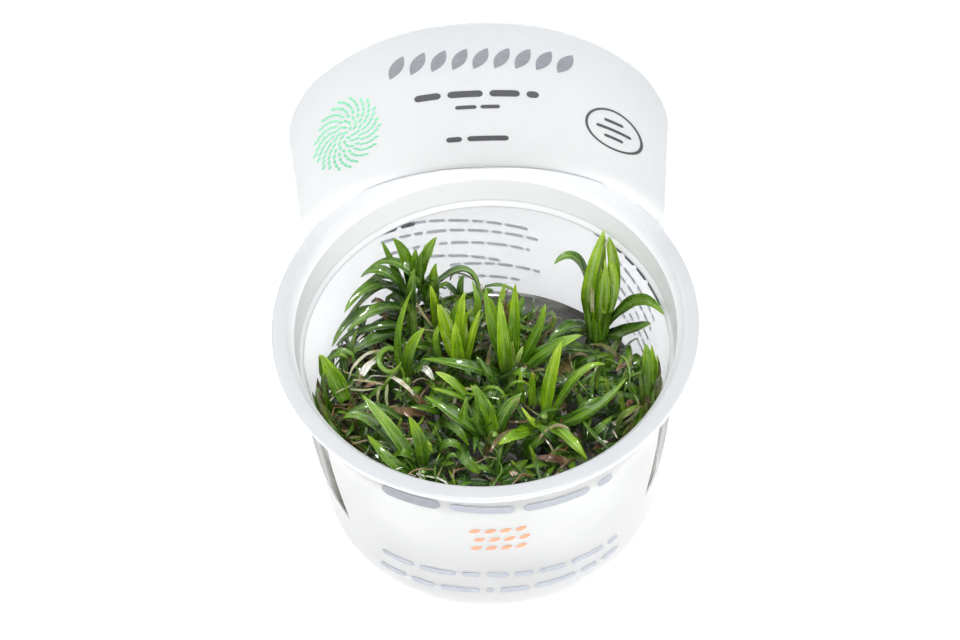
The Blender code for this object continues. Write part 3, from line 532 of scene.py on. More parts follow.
def stem_material():
    """Fleshy stem, paler than the leaves, with lengthwise streaks."""
    m = Nodes("fleshy stem")
    streak = m.add("TexWave", wave_type="BANDS", bands_direction="X")
    streak.inputs["Scale"].default_value = 420
    streak.inputs["Distortion"].default_value = 2
    m.link(m.object_point(), streak.inputs["Vector"])
    m.colour(m.colours(m.math("ADD", m.noise(300), m.math("MULTIPLY", streak.outputs["Fac"], 0.2)), (
        (0.3, (0.06, 0.15, 0.012)),
        (0.6, (0.16, 0.30, 0.04)),
        (0.9, (0.30, 0.42, 0.12)),
    )))
    m.roughness(0.28, 0.42, 700)
    m.set(Subsurface_Weight=0.2, Subsurface_Radius=(0.5, 1.0, 0.2), Subsurface_Scale=0.0008)
    m.bump(m.noise(1200), 0.3, 0.0001)
    return m.material


def root_material():
    """Thin roots: whitish where fresh, brown where old."""
    m = Nodes("roots")
    m.colour(m.colours(m.math("ADD", m.attribute("tone"), m.uneven(-0.12, 0.12, 500)), (
        (0.0, (0.10, 0.045, 0.020)),
        (0.35, (0.25, 0.15, 0.075)),
        (0.7, (0.46, 0.42, 0.28)),
        (1.0, (0.72, 0.72, 0.62)),
    )))
    m.roughness(0.30, 0.48, 900)
    m.set(Subsurface_Weight=0.25, Subsurface_Radius=(1.0, 0.9, 0.6), Subsurface_Scale=0.0005)
    m.bump(m.noise(2000), 0.3, 0.00008)
    return m.material


def scrap_material():
    """Thin wet flakes of dead tissue, from brown to a translucent white."""
    m = Nodes("dead tissue")
    m.colour(m.colours(m.math("ADD", m.attribute("tone"), m.uneven(-0.15, 0.15, 600, 3)), (
        (0.0, (0.070, 0.028, 0.018)),
        (0.3, (0.30, 0.17, 0.10)),
        (0.65, (0.58, 0.52, 0.40)),
        (1.0, (0.74, 0.76, 0.74)),
    )))
    m.roughness(0.18, 0.36, 800)
    m.set(Subsurface_Weight=0.3, Subsurface_Radius=(1.0, 1.0, 0.9), Subsurface_Scale=0.0006)
    m.set(Coat_Weight=0.5, Coat_Roughness=0.06)
    m.bump(m.noise(1300), 0.4, 0.00012)
    return m.material


def gel_material():
    """Wet agar: a little see-through, with a rippled skin. Its dark colour is partly its own and
    partly painted shade of the deep cup; its lighter streaks are painted highlights.
    """
    m = Nodes("agar gel")
    drawn = m.add("Mapping")
    drawn.inputs["Scale"].default_value = (60, 190, 100)
    drawn.inputs["Rotation"].default_value = (0, 0, math.radians(12))
    m.link(m.object_point(), drawn.inputs["Vector"])
    ripple_and_painted_glints = m.noise(1.0, 4, 0.6, vector=drawn.outputs[0])
    # Painted highlights: the lighter streaks stand for glints on the wet skin
    m.colour(m.colours(ripple_and_painted_glints, (
        (0.3, (0.050, 0.052, 0.040)),
        (0.55, (0.120, 0.120, 0.100)),
        (0.8, (0.260, 0.260, 0.240)),
    )))
    m.roughness(0.03, 0.12, 300)
    m.set(Transmission_Weight=0.35, IOR=1.34, Coat_Weight=1.0, Coat_Roughness=0.03)
    m.bump(ripple_and_painted_glints, 0.6, 0.0012)
    return m.material


def plastic_material():
    """Clear moulded plastic with a slightly uneven skin, with painted shade by the slits at the
    sides: a dark tint for the shaded roots and wet leaves that lie against it there."""
    m = Nodes("clear plastic")
    clear = m.mottled((0.900, 0.910, 0.922), (0.925, 0.933, 0.943), 40)
    untinted, shaded = (1.0, 1.0, 1.0), (0.42, 0.39, 0.34)
    # Painted shade: a dark tint across a band of Y, by the card's slits
    shade = m.colours(m.between(m.axis("Y"), SHADE_FRONT, SHADE_BACK), (
        (0.0, untinted),
        (0.2, shaded),
        (0.8, shaded),
        (1.0, untinted),
    ))
    m.colour(m.mix(1.0, clear, shade, "MULTIPLY"))
    m.roughness(0.02, 0.05, 160)
    m.set(Transmission_Weight=1.0, IOR=1.03)
    m.bump(m.noise(120), 0.10, 0.0003)
    return m.material


def milky_material():
    """The same plastic where it is thicker and milky, with painted light and shade in its colour:
    painted shade greys it at the ledge and, cooler, on the flange that the lamps light most; the
    band above the ledge stays pale, and painted light whitens it at the back, next to the card."""
    m = Nodes("milky plastic")
    # Painted shade: grey at the ledge and on the flange, pale in the band between
    painted_light_tint = m.colours(m.between(m.axis("Z"), LEDGE_HEIGHT, FLANGE_HEIGHT), (
        (0.0, (0.520, 0.530, 0.540)),
        (0.09, (0.560, 0.570, 0.582)),
        (0.15, (0.880, 0.890, 0.902)),
        (0.72, (0.880, 0.890, 0.902)),
        (0.82, (0.680, 0.691, 0.704)),
        (0.94, (0.580, 0.592, 0.608)),
        (1.0, (0.430, 0.441, 0.456)),
    ))
    # Painted light: whiter towards the back, next to the card
    painted_light_tint = m.mix(m.between(m.axis("Y"), 0.020, 0.046), painted_light_tint, (0.12, 0.12, 0.12), "ADD")
    cloud = m.mottled((0.985, 0.985, 0.985), (1.0, 1.0, 1.0), 60)
    m.colour(m.mix(1.0, painted_light_tint, cloud, "MULTIPLY"))
    m.roughness(0.30, 0.34, 160)
    m.bump(m.noise(140), 0.10, 0.0002)
    return m.material


def painted_shade_material():
    """The outside of that band, where the slits show it: painted shade, a grey skin in place of the
    dark plants seen through the clear wall.
    """
    m = Nodes("painted shade plastic")
    # Painted shade: a dark grey in place of the shaded plants behind the wall
    m.colour(m.mottled((0.20, 0.195, 0.185), (0.25, 0.245, 0.235), 120, 3))
    m.roughness(0.45, 0.55, 160)
    m.set(Specular_IOR_Level=0.12)
    m.bump(m.noise(140), 0.10, 0.0002)
    return m.material


def card_material():
    """Smooth coated white card with faint fibres. Light comes through the wrap; the header is
    denser, and painted shade greys it, cool and deepening upwards, to even out the light on it."""
    m = Nodes("coated card")
    height = m.axis("Z")
    white = m.mottled((0.885, 0.898, 0.915), (0.905, 0.916, 0.930), 60, 4, 0.6)
    # Painted shade: the header greys more the higher it stands
    painted_shade_rise = m.between(height, FRONT_TOP, HEADER_HEIGHT)
    m.colour(m.mix(painted_shade_rise, white, (0.51, 0.52, 0.53), "MULTIPLY"))
    m.roughness(0.38, 0.50, 500)
    dense = m.between(height, FRONT_TOP, FRONT_TOP + 0.008, 1.0, 0.35)
    m.link(dense, m.shader.inputs["Subsurface Weight"])
    m.set(Specular_IOR_Level=0.4, Subsurface_Radius=(1.0, 1.0, 1.0), Subsurface_Scale=0.007)
    m.bump(m.noise(2600, 3, 0.6), 0.12, 0.00006)
    return m.material


def ink_material(name, colour, through=0.0):
    """Matt print, a little uneven, as ink on coated card is. Faint print lets a share of
    the light through to the card under it."""
    m = Nodes(name)
    m.colour(m.mottled(tuple(0.88 * c for c in colour), colour, 700))
    m.roughness(0.40, 0.55, 900)
    m.set(Transmission_Weight=through, IOR=1.1)
    return m.material


# Mesh building


class Pile:
    """Many closed shapes gathered into one mesh, with named values at every vertex."""

    def __init__(self, *attributes):
        self.points = []
        self.faces = []
        self.values = {name: [] for name in attributes}
        self.count = 0

    def add(self, points, faces, **values):
        """Adds a shape, whose values are one number or one for each of its points."""
        points = np.asarray(points, float)
        self.faces += [tuple(i + self.count for i in face) for face in faces]
        self.points.append(points)
        self.count += len(points)
        for name, store in self.values.items():
            value = np.asarray(values.get(name, 0.0), float)
            store.append(np.broadcast_to(value, (len(points),)))

    def build(self, name, material, slot, angle=50):
        """Makes the piece, with edges sharp where faces meet at more than the angle."""
        mesh = bpy.data.meshes.new(name)
        mesh.from_pydata(np.concatenate(self.points).tolist(), [], self.faces)
        for key, store in self.values.items():
            layer = mesh.attributes.new(key, "FLOAT", "POINT")
            layer.data.foreach_set("value", np.concatenate(store).astype(np.float32))
        mesh.materials.append(material)
        mesh.shade_smooth()
        mesh.set_sharp_from_angle(angle=math.radians(angle))
        return add_piece(name, mesh)


def add_piece(name, mesh):
    """A mesh as a piece of the part, on its one body."""
    piece = bpy.data.objects.new(name, mesh)
    bpy.context.scene.collection.objects.link(piece)
    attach(piece, "root")
    return piece


def loft_faces(rings, size, pointed=True):
    """Faces of a closed body through equal rings, which ends in a point or flat."""
    faces = [tuple(reversed(range(size)))]
    for r in range(rings - 1):
        for i in range(size):
            j = (i + 1) % size
            faces.append((r * size + i, r * size + j, (r + 1) * size + j, (r + 1) * size + i))
    last = (rings - 1) * size
    if pointed:
        faces += [(last + i, last + (i + 1) % size, rings * size) for i in range(size)]
    else:
        faces.append(tuple(range(last, last + size)))
    return faces


def unit(vectors):
    """Each vector at a length of 1."""
    return vectors / np.linalg.norm(vectors, axis=-1, keepdims=True)


def smooth_path(points, count):
    """Even steps along a smooth curve through the points."""
    points = np.asarray(points, float)
    ends = np.concatenate([[2 * points[0] - points[1]], points, [2 * points[-1] - points[-2]]])
    fine = []
    for i in range(len(points) - 1):
        a, b, c, d = ends[i:i + 4]
        for t in np.linspace(0, 1, 12, endpoint=False):
            fine.append(0.5 * (2 * b + (c - a) * t + (2 * a - 5 * b + 4 * c - d) * t**2
                               + (3 * b - a - 3 * c + d) * t**3))
    fine = np.array(fine + [points[-1]])
    travel = np.concatenate([[0], np.cumsum(np.linalg.norm(np.diff(fine, axis=0), axis=1))])
    steps = np.linspace(0, travel[-1], count)
    return np.stack([np.interp(steps, travel, fine[:, axis]) for axis in range(3)], axis=1)


def arc_path(arc, count):
    """Even steps of the parameter along a quadratic curve from foot to tip."""
    foot, bend, tip = arc
    t = np.linspace(0, 1, count)[:, None]
    return foot * (1 - t) ** 2 + bend * 2 * t * (1 - t) + tip * t * t


def leaf_width(t):
    """Share of full width: a clasping foot, parallel sides and a long tapering tip."""
    return (0.72 + 0.30 * np.minimum(1.0, 3.5 * t)) * (1 - t**3.2) ** 0.8


def carried_sides(path, along):
    """A sideways direction at each station, carried along the path without twisting."""
    chord = path[-1] - path[0]
    side = np.array((-chord[1], chord[0], 0.0))
    if np.linalg.norm(side) < 1e-6:
        side = np.array((1.0, 0.0, 0.0))
    sides = []
    for direction in along:
        side = unit(side - direction * (direction @ side))
        sides.append(side)
    return np.array(sides)


FINE_OUTLINE = (-1, -0.84, -0.58, -0.28, -0.1, 0, 0.1, 0.28, 0.58, 0.84, 1)
COARSE_OUTLINE = (-1, -0.5, 0, 0.5, 1)


def add_blade(pile, path, width, tone, wilt=0.0, fine=True, roll=0.0, twist=0.0, wave=0.0,
              thick=LEAF_THICK, pale=0.0):
    """One leaf: a folded, grooved blade along a path from its foot to its tip. Roll, and the
    twist that it gains on the way, are in degrees."""
    outline = FINE_OUTLINE if fine else COARSE_OUTLINE
    across = np.array(outline[::-1] + outline[1:-1])
    upper = np.array([1.0] * len(outline) + [0.0] * (len(outline) - 2))
    tip = path[-1]
    stations = len(path) - 1
    along = unit(np.gradient(path, axis=0))[:-1]
    centre = path[:-1]
    t = np.linspace(0, 1, stations + 1)[:-1, None]
    side = carried_sides(path, along)
    out = np.cross(along, side)
    turn = math.radians(roll) + math.radians(twist) * t
    side, out = side * np.cos(turn) + out * np.sin(turn), out * np.cos(turn) - side * np.sin(turn)
    half = width * leaf_width(t) / 2
    body = thick * (0.55 + 0.45 * leaf_width(t)) / 2
    lens = np.sqrt(np.clip(1 - across**2, 0, 1))
    groove = np.exp(-((across / 0.13) ** 2))
    face = np.where(upper > 0.5, lens - 0.45 * groove, -lens - 0.35 * groove)
    lift = BLADE_FOLD * 2 * half * np.abs(across) ** 1.5 + body * face
    lift = lift + wave * half * np.abs(across) ** 2 * np.sin(t * 17 + across * 1.3)
    points = centre[:, None, :] + side[:, None, :] * (half * across)[..., None]
    points = points + out[:, None, :] * lift[..., None]
    size = len(across)
    pile.add(
        keep_inside(np.concatenate([points.reshape(-1, 3), [tip]])),
        loft_faces(stations, size),
        tone=tone, wilt=wilt, pale=pale,
        along=np.append(np.repeat(t[:, 0], size), 1.0),
        across=np.append(np.tile(across, stations), 0.0),
        upper=np.append(np.tile(upper, stations), 1.0),
    )


def leaf_pile():
    """A pile with the values that the leaf material reads."""
    return Pile("along", "across", "tone", "upper", "wilt", "pale")


def add_tube(pile, path, radii, sides=6, **values):
    """A round closed thread along a path, pointed at its end."""
    path = np.asarray(path, float)
    along = unit(np.gradient(path, axis=0))
    side = unit(np.cross(along, (0.31, 0.17, 0.93)))
    out = np.cross(along, side)
    angle = np.linspace(0, 2 * np.pi, sides, endpoint=False)[None, :, None]
    ring = side[:, None, :] * np.cos(angle) + out[:, None, :] * np.sin(angle)
    radii = np.broadcast_to(radii, (len(path),))
    points = (path[:, None, :] + ring * radii[:, None, None]).reshape(-1, 3)
    tip = path[-1] + along[-1] * radii[-1]
    pile.add(np.concatenate([points, [tip]]), loft_faces(len(path), sides), **values)


# Plants


def wall_radius(z):
    """Inner radius of the cup's wall at a height below its ledge."""
    share = (z - FLOOR) / (LEDGE_HEIGHT - FLOOR)
    return BASE_RADIUS - 0.6 * WALL + (LEDGE_RADIUS - BASE_RADIUS + 0.6 * WALL) * share


def keep_inside(points, gap=0.0004):
    """Presses points that would pass the cup's wall back against it."""
    reach = np.hypot(points[:, 0], points[:, 1])
    limit = wall_radius(points[:, 2]) - gap
    scale = np.where(reach > limit, limit / np.maximum(reach, 1e-9), 1.0)
    points[:, :2] *= scale[:, None]
    return points


def stem_point(stem, height):
    """The stem's axis at a height: straight from its foot in the gel to its top."""
    foot, top, _ = STEMS[stem]
    low = Vector((foot[0], foot[1], ROOT_DEPTH))
    return low.lerp(Vector(top), (height - ROOT_DEPTH) / (top[2] - ROOT_DEPTH))


def stem_radius(stem, height):
    """Stems narrow to 70% of their foot radius at the top."""
    _, top, radius = STEMS[stem]
    return radius * (1 - 0.3 * (height - ROOT_DEPTH) / (top[2] - ROOT_DEPTH))


def metres(point):
    """A point in mm, as a vector in metres."""
    return Vector([c / 1000 for c in point])


def leaf_foot(stem, height, middle, width):
    """Where a leaf leaves its stem, on the side of its middle."""
    axis = stem_point(stem, height)
    outward = middle - axis
    outward.z = 0
    reach = stem_radius(stem, height) + CLEARANCE + 0.7 * LEAF_THICK + 0.4 * LEAF_FOLD * width
    return axis + outward.normalized() * reach


def make_stems(material):
    """Fleshy stems with a ring at each joint, each in place of its plain CAD one."""
    for stem, (_, top, _) in STEMS.items():
        heights = np.linspace(ROOT_DEPTH, top[2], 30)
        path = [stem_point(stem, height) for height in heights]
        joints = 1 + 0.16 * np.cos((top[2] - heights) * math.pi / 0.0042) ** 8
        radii = np.array([stem_radius(stem, height) for height in heights]) * joints
        pile = Pile("tone")
        add_tube(pile, path, radii, 16, tone=0.5)
        piece = pile.build(stem + "_shoot", material, "stem")
        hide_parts(stem + "_stem")


def make_leaf(material, rng, name, foot, middle, tip, width, tone, bud=False):
    """One fine blade in place of a plain CAD leaf. Its midrib passes through its middle, and
    the blades of a bud are pale down theirs."""
    arc = np.array(foot), np.array(2 * middle - (foot + tip) / 2), np.array(tip)
    pile = leaf_pile()
    add_blade(pile, arc_path(arc, 25), width, tone, roll=ROLLS.get(name, 0),
              twist=rng.uniform(-16, 16), wave=rng.uniform(0.02, 0.12),
              pale=0.8 if bud else rng.uniform(0.0, 0.25))
    piece = pile.build(name + "_blade", material, "leaf")
    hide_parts(name)


def make_leaves(material):
    """The leaves of each stem, and then the two by the wall."""
    rng = random.Random(11)
    for stem, leaves in LEAVES.items():
        for number, (height, middle, tip, width, tone) in enumerate(leaves, 1):
            foot = leaf_foot(stem, height / 1000, metres(middle), width / 1000)
            make_leaf(material, rng, f"{stem}_leaf_{number}", foot, metres(middle), metres(tip),
                      width / 1000, tone, stem == "back_right" and tone > 0.55)
    for name, (foot, middle, tip, width, tone) in WALL_LEAVES.items():
        make_leaf(material, rng, name, metres(foot), metres(middle), metres(tip),
                  width / 1000, tone)


def mat_radius(angle):
    """Reach of the undergrowth: to the wall, except where wet gel shows at the back."""
    off = (angle % (2 * math.pi) - MAT_NOTCH_ANGLE) / MAT_NOTCH_SPREAD
    return MAT_RADIUS - MAT_NOTCH_DEPTH * math.exp(-off * off)


def mat_mound(x, y):
    """Height of the undergrowth where no leaf holds it down: lumpy and highest in front."""
    lumps = 0.0016 * math.sin(x * 260 + 0.6) * math.cos(y * 230 - 0.4)
    lumps += 0.0010 * math.sin(x * 410 + y * 330)
    return MOUND_HEIGHT - MOUND_SLOPE * y + lumps


def mat_spot(rng, inner=0.0):
    """A random point of the gel that the undergrowth covers, outside an inner share of its
    area."""
    angle = rng.uniform(0, 2 * math.pi)
    radius = mat_radius(angle) * math.sqrt(rng.uniform(inner, 1.0))
    return radius * math.cos(angle), radius * math.sin(angle)


def flat_direction(angle):
    """The level direction at an angle from +X towards +Y."""
    return Vector((math.cos(angle), math.sin(angle), 0))


def add_small_shoots(pile, rng):
    """Low shoots with whorls of small dark leaves that arch over."""
    spots = []
    while len(spots) < SHOOT_COUNT:
        x, y = mat_spot(rng)
        if all(math.dist((x, y), spot) > SHOOT_SPACING for spot in spots):
            spots.append((x, y))
    for x, y in spots:
        top = mat_mound(x, y) - 0.0015
        base = Vector((x, y, rng.uniform(GEL_TOP + 0.001, top - 0.006)))
        tone = rng.uniform(-0.10, 0.22)
        start = rng.uniform(0, 2 * math.pi)
        for k in range(rng.randint(4, 7)):
            out = flat_direction(start + k * 2.4)
            length = rng.uniform(0.007, 0.014)
            painted_shade_rise = rng.uniform(0.3, 1.4)
            droop = painted_shade_rise - rng.uniform(0.6, 2.2)
            sway = flat_direction(start + k * 2.4 + math.pi / 2) * rng.uniform(-0.002, 0.002)
            foot = base + out * 0.0006 + Vector((0, 0, 0.0005 * k))
            bend = foot + (out * math.cos(painted_shade_rise) + Vector((0, 0, math.sin(painted_shade_rise)))) * length * 0.6
            tip = bend + (out * math.cos(droop) + Vector((0, 0, math.sin(droop)))) * length * 0.5
            tip += sway
            bend.z = min(bend.z, top + 0.001)
            tip.z = max(min(tip.z, top), GEL_TOP + 0.0005)
            add_blade(pile, arc_path((np.array(foot), np.array(bend), np.array(tip)), 10),
                      rng.uniform(0.0018, 0.0032), tone + rng.uniform(-0.05, 0.20),
                      wilt=rng.uniform(0.6, 1.0) if rng.random() < 0.07 else 0.0, fine=False,
                      roll=rng.uniform(-40, 40), twist=rng.uniform(-50, 50), thick=0.0005)


def add_strips(pile, rng, count, inner, tones, wilted, width):
    """Thin curling strips: young leaf tips, and leaves that have withered to threads. Tones
    and width are each a range, and wilted is the share of them that is withered."""
    for _ in range(count):
        x, y = mat_spot(rng, inner)
        top = mat_mound(x, y) + 0.0005
        spot = Vector((x, y, rng.uniform(GEL_TOP + 0.003, top)))
        heading = flat_direction(rng.uniform(0, 2 * math.pi)) + Vector((0, 0, rng.uniform(-0.2, 1.2)))
        heading.normalize()
        curl = rng.uniform(-0.30, 0.30)
        path = []
        for _ in range(9):
            path.append(tuple(spot))
            spot = spot + heading * rng.uniform(0.0010, 0.0016)
            if not GEL_TOP + 0.0005 < spot.z < top:
                heading.z = -0.6 * heading.z
            spot.z = min(max(spot.z, GEL_TOP + 0.0005), top)
            heading = Matrix.Rotation(curl + rng.uniform(-0.15, 0.15), 3, "Z") @ heading
            heading = (heading + Vector((0, 0, rng.uniform(-0.35, 0.15)))).normalized()
        path = smooth_path(keep_inside(np.array(path)), 14)
        add_blade(pile, path, rng.uniform(*width), rng.uniform(*tones),
                  wilt=rng.uniform(0.5, 1.0) if rng.random() < wilted else 0.0, fine=False,
                  roll=rng.uniform(-70, 70), twist=rng.uniform(-90, 90), thick=0.0004)


def add_pressed_strips(pile, rng, count):
    """Dark leaves and roots pressed against the wall at the sides, where the card's slits
    show them."""
    for k in range(count):
        side = 1 if k % 2 else -1
        off = rng.uniform(-0.20, 0.50)
        angle = side * (SLIT_TOP_ANGLE + off) - math.pi / 2
        top = PRESSED_TOP if off < SLIT_REACH else PRESSED_TOP_BACK
        low = rng.uniform(GEL_TOP + 0.0005, top - 0.008)
        high = min(low + rng.uniform(0.010, 0.022), top)
        depth = rng.uniform(0.0006, 0.0032)
        lean = rng.uniform(-0.22, 0.22)
        path = []
        for share in np.linspace(0, 1, 8):
            z = low + (high - low) * share
            spot = flat_direction(angle + lean * share) * (wall_radius(z) - depth)
            spot.z = z
            path.append(tuple(spot))
        path = smooth_path(keep_inside(np.array(path)), 12)
        add_blade(pile, path, rng.uniform(0.0020, 0.0036), rng.uniform(-0.15, 0.10),
                  wilt=rng.uniform(0.3, 0.9) if rng.random() < 0.5 else 0.0, fine=False,
                  roll=rng.uniform(-90, 90), twist=rng.uniform(-60, 60), thick=0.0004)


def make_undergrowth(material):
    """The low leaves between the stems, seeded, then those in CROWD and the pressed ones."""
    rng = random.Random(5)
    pile = leaf_pile()
    add_small_shoots(pile, rng)
    add_strips(pile, rng, STRIP_COUNT, 0.0, (0.0, 0.7), 0.22, (0.0006, 0.0013))
    add_strips(pile, rng, EDGE_STRIP_COUNT, 0.78, (0.1, 0.6), 0.45, (0.0006, 0.0014))
    low = pile.build("low_leaves", material, "undergrowth")
    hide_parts("undergrowth")
    crowd = leaf_pile()
    for points, width, tone, *rest in CROWD:
        wilt, roll = (*rest, 0, 0)[:2]
        path = smooth_path(keep_inside(np.array(points) / 1000), 26)
        add_blade(crowd, path, width / 1000, tone, wilt, roll=roll, twist=rng.uniform(-20, 20),
                  wave=rng.uniform(0.02, 0.15), pale=rng.uniform(0.0, 0.3) + ramp(0.8, 1.0, tone),
                  thick=min(LEAF_THICK, width / 2200))
    crowd.build("crowded_leaves", material, "undergrowth")
    pressed = leaf_pile()
    add_pressed_strips(pressed, random.Random(23), PRESSED_COUNT)
    pressed.build("pressed_leaves", material, "undergrowth")


def make_roots(material):
    """Thin roots that wander over the gel and up between the shoots."""
    rng = random.Random(8)
    pile = Pile("tone")
    for _ in range(ROOT_COUNT):
        angle = rng.gauss(math.pi, 1.3)
        radius = mat_radius(angle) * rng.uniform(0.45, 0.98)
        spot = Vector((radius * math.cos(angle), radius * math.sin(angle), 0))
        spot.z = rng.uniform(GEL_TOP + 0.001, mat_mound(spot.x, spot.y) - 0.002)
        heading = Vector((rng.uniform(-1, 1), rng.uniform(-1, 1), rng.uniform(-0.3, 0.5)))
        heading.normalize()
        path = []
        for _ in range(14):
            path.append(tuple(spot))
            heading = (heading + Vector([rng.gauss(0, 0.35) for _ in range(3)])).normalized()
            heading.z *= 0.8
            spot = spot + heading * 0.0011
            spot.z = min(max(spot.z, GEL_TOP + 0.0006), mat_mound(spot.x, spot.y))
        path = keep_inside(np.array(path), 0.0008)
        radii = np.linspace(0.00026, 0.00010, len(path)) * rng.uniform(0.7, 1.3)
        add_tube(pile, path, radii, tone=rng.random())
    pile.build("fine_roots", material, "undergrowth")


def add_scrap(pile, rng, centre, size, tone):
    """A crumpled flake with a ragged edge, a closed shell of two skins."""
    rings, sectors = 4, 14
    edge = [1 + 0.25 * math.sin(3 * a + rng.uniform(0, 6)) + rng.uniform(-0.30, 0.30)
            for a in np.linspace(0, 2 * math.pi, sectors, endpoint=False)]
    tilt = Matrix.Rotation(rng.uniform(0, 6.3), 3, "Z")
    tilt = tilt @ Matrix.Rotation(rng.uniform(-0.6, 0.6), 3, "X")
    (pace_x, shift_x), (pace_y, shift_y) = [
        (rng.uniform(0.8, 2.2) / size, rng.uniform(0, 6.3)) for _ in range(2)
    ]
    slim = rng.uniform(0.22, 0.5)
    points = []
    for skin in (1, -1):
        for r in range(rings + 1):
            share = r / rings
            count = 1 if r == 0 else sectors
            for s in range(count):
                angle = 2 * math.pi * s / sectors
                x = size * share * edge[s] * math.cos(angle)
                y = slim * size * share * edge[s] * math.sin(angle)
                crumple = math.sin(pace_x * x + shift_x) + math.cos(pace_y * y + shift_y)
                z = 0.18 * size * crumple + skin * 0.00012 * (1 - 0.8 * share)
                points.append(tuple(Vector(centre) + tilt @ Vector((x, y, z))))
    faces = []
    skin_size = 1 + rings * sectors
    for s in range(sectors):
        n = (s + 1) % sectors
        for start, flip in ((0, False), (skin_size, True)):
            face = [(start, start + 1 + s, start + 1 + n)]
            for r in range(rings - 1):
                a = start + 1 + r * sectors
                face.append((a + s, a + sectors + s, a + sectors + n, a + n))
            faces += [tuple(reversed(f)) for f in face] if flip else face
        a = 1 + (rings - 1) * sectors
        faces.append((a + s, skin_size + a + s, skin_size + a + n, a + n))
    pile.add(keep_inside(np.array(points)), faces, tone=tone)


# Flakes of dead tissue that lie on the plants: centre in mm, size in mm and tone, from 0
# for dark brown to 1 for white
SCRAPS = (
    ((-31.5, 4.6, 30.5), 1.5, 0.15),
    ((-32.4, 3, 29.5), 1.3, 0.1),
    ((-28.6, 4.4, 29.5), 1.6, 0.2),
    ((-22, 1.6, 31), 0.9, 0.85),
    ((-30, -5, 29), 1.4, 0.1),
    ((-27.2, -7.4, 28.5), 1.2, 0.2),
    ((-20, -4, 28), 1.5, 0.15),
    ((27, -14.5, 29.5), 1.2, 0.75),
    ((30, -12, 29), 1.1, 0.65),
    ((34, -3, 28.5), 1.6, 0.1),
    ((33, 8, 29), 1.8, 0.15),
    ((-5.3, 16.2, 33), 0.9, 0.8),
    ((-18.5, -23.6, 31.5), 0.9, 0.4),
    ((0.6, -30.6, 31.5), 1.5, 0.35),
)


def make_scraps(material):
    """The flakes in SCRAPS, then smaller ones strewn among the plants."""
    rng = random.Random(21)
    pile = Pile("tone")
    for centre, size, tone in SCRAPS:
        add_scrap(pile, rng, metres(centre), size / 1000, tone)
    for _ in range(SCRAP_COUNT):
        x, y = mat_spot(rng, 0.2)
        z = rng.uniform(GEL_TOP + 0.004, mat_mound(x, y) - 0.001)
        add_scrap(pile, rng, (x, y, z), rng.uniform(0.0005, 0.0013), rng.random() ** 1.5)
    pile.build("dead_scraps", material, "undergrowth", 180)


# Gel, cup and card


def turned(name, profile, steps, materials, split=math.inf):
    """A profile of (radius, height) spun about Z, first up the inside and then down the
    outside. Above the split height the inside and the flange take the second material, and
    the outside below the flange takes the third."""
    points = []
    rings = []
    angles = np.linspace(0, 2 * math.pi, steps, endpoint=False)
    for radius, z in profile:
        if radius < 1e-6:
            rings.append([len(points)] * steps)
            points.append((0, 0, z))
        else:
            rings.append(list(range(len(points), len(points) + steps)))
            points += [(radius * math.cos(a), radius * math.sin(a), z) for a in angles]
    faces = []
    finishes = []
    for (low, high), (first, second) in zip(zip(rings, rings[1:]), zip(profile, profile[1:])):
        middle = (first[1] + second[1]) / 2
        finish = 0
        if middle > split:
            finish = 2 if second[1] < first[1] and middle < MOUTH_HEIGHT else 1
        for i in range(steps):
            j = (i + 1) % steps
            faces.append(tuple(dict.fromkeys([low[j], low[i], high[i], high[j]])))
            finishes.append(finish)
    mesh = bpy.data.meshes.new(name)
    mesh.from_pydata(points, [], faces)
    for material in materials:
        mesh.materials.append(material)
    mesh.polygons.foreach_set("material_index", finishes)
    mesh.shade_smooth()
    mesh.set_sharp_from_angle(angle=math.radians(40))
    return add_piece(name, mesh)


def filleted(profile, radii, steps=4):
    """The profile with each inner corner rounded to its radius."""
    points = [Vector(profile[0])]
    for before, corner, after, radius in zip(profile, profile[1:], profile[2:], radii):
        before, corner, after = Vector(before), Vector(corner), Vector(after)
        into = (before - corner).normalized()
        onward = (after - corner).normalized()
        reach = min(radius, 0.45 * (before - corner).length, 0.45 * (after - corner).length)
        start = corner + into * reach
        end = corner + onward * reach
        for i in range(steps + 1):
            t = i / steps
            points.append(start * (1 - t) ** 2 + corner * 2 * t * (1 - t) + end * t * t)
    points.append(Vector(profile[-1]))
    return [tuple(point) for point in points]


def cup_profile():
    """From the middle of the floor up the inside, over the flange and down the outside."""
    ledge_rise = WALL * 1.25
    corners = [
        (0, FLOOR),
        (BASE_RADIUS - 1.6 * WALL, FLOOR),
        (BASE_RADIUS - 0.75 * WALL, FLOOR + 0.0016),
        (LEDGE_RADIUS, LEDGE_HEIGHT),
        (LEDGE_RADIUS + LEDGE_STEP, LEDGE_HEIGHT + ledge_rise),
        (MOUTH_RADIUS, MOUTH_HEIGHT),
        (FLANGE_INNER, FLANGE_HEIGHT),
        (FLANGE_RADIUS, FLANGE_HEIGHT),
        (FLANGE_RADIUS, FLANGE_HEIGHT - FLANGE_LIP),
        (FLANGE_RADIUS - WALL, FLANGE_HEIGHT - FLANGE_LIP),
        (FLANGE_RADIUS - WALL, FLANGE_HEIGHT - WALL),
        (FLANGE_INNER + 0.0004, FLANGE_HEIGHT - WALL),
        (MOUTH_RADIUS + WALL, MOUTH_HEIGHT - 0.0004),
        (LEDGE_RADIUS + LEDGE_STEP + WALL, LEDGE_HEIGHT + ledge_rise - 0.0002),
        (LEDGE_RADIUS + WALL, LEDGE_HEIGHT - 0.0002),
        (BASE_RADIUS + 0.0001, 0.0022),
        (BASE_RADIUS - 0.0012, 0),
        (0, 0),
    ]
    small = 0.0003
    lip = [0.0007, 0.0005]
    foot = [0.0008, 0.0008]
    return filleted(corners, [0.0010] + [small] * 4 + lip + [small] * 7 + foot)


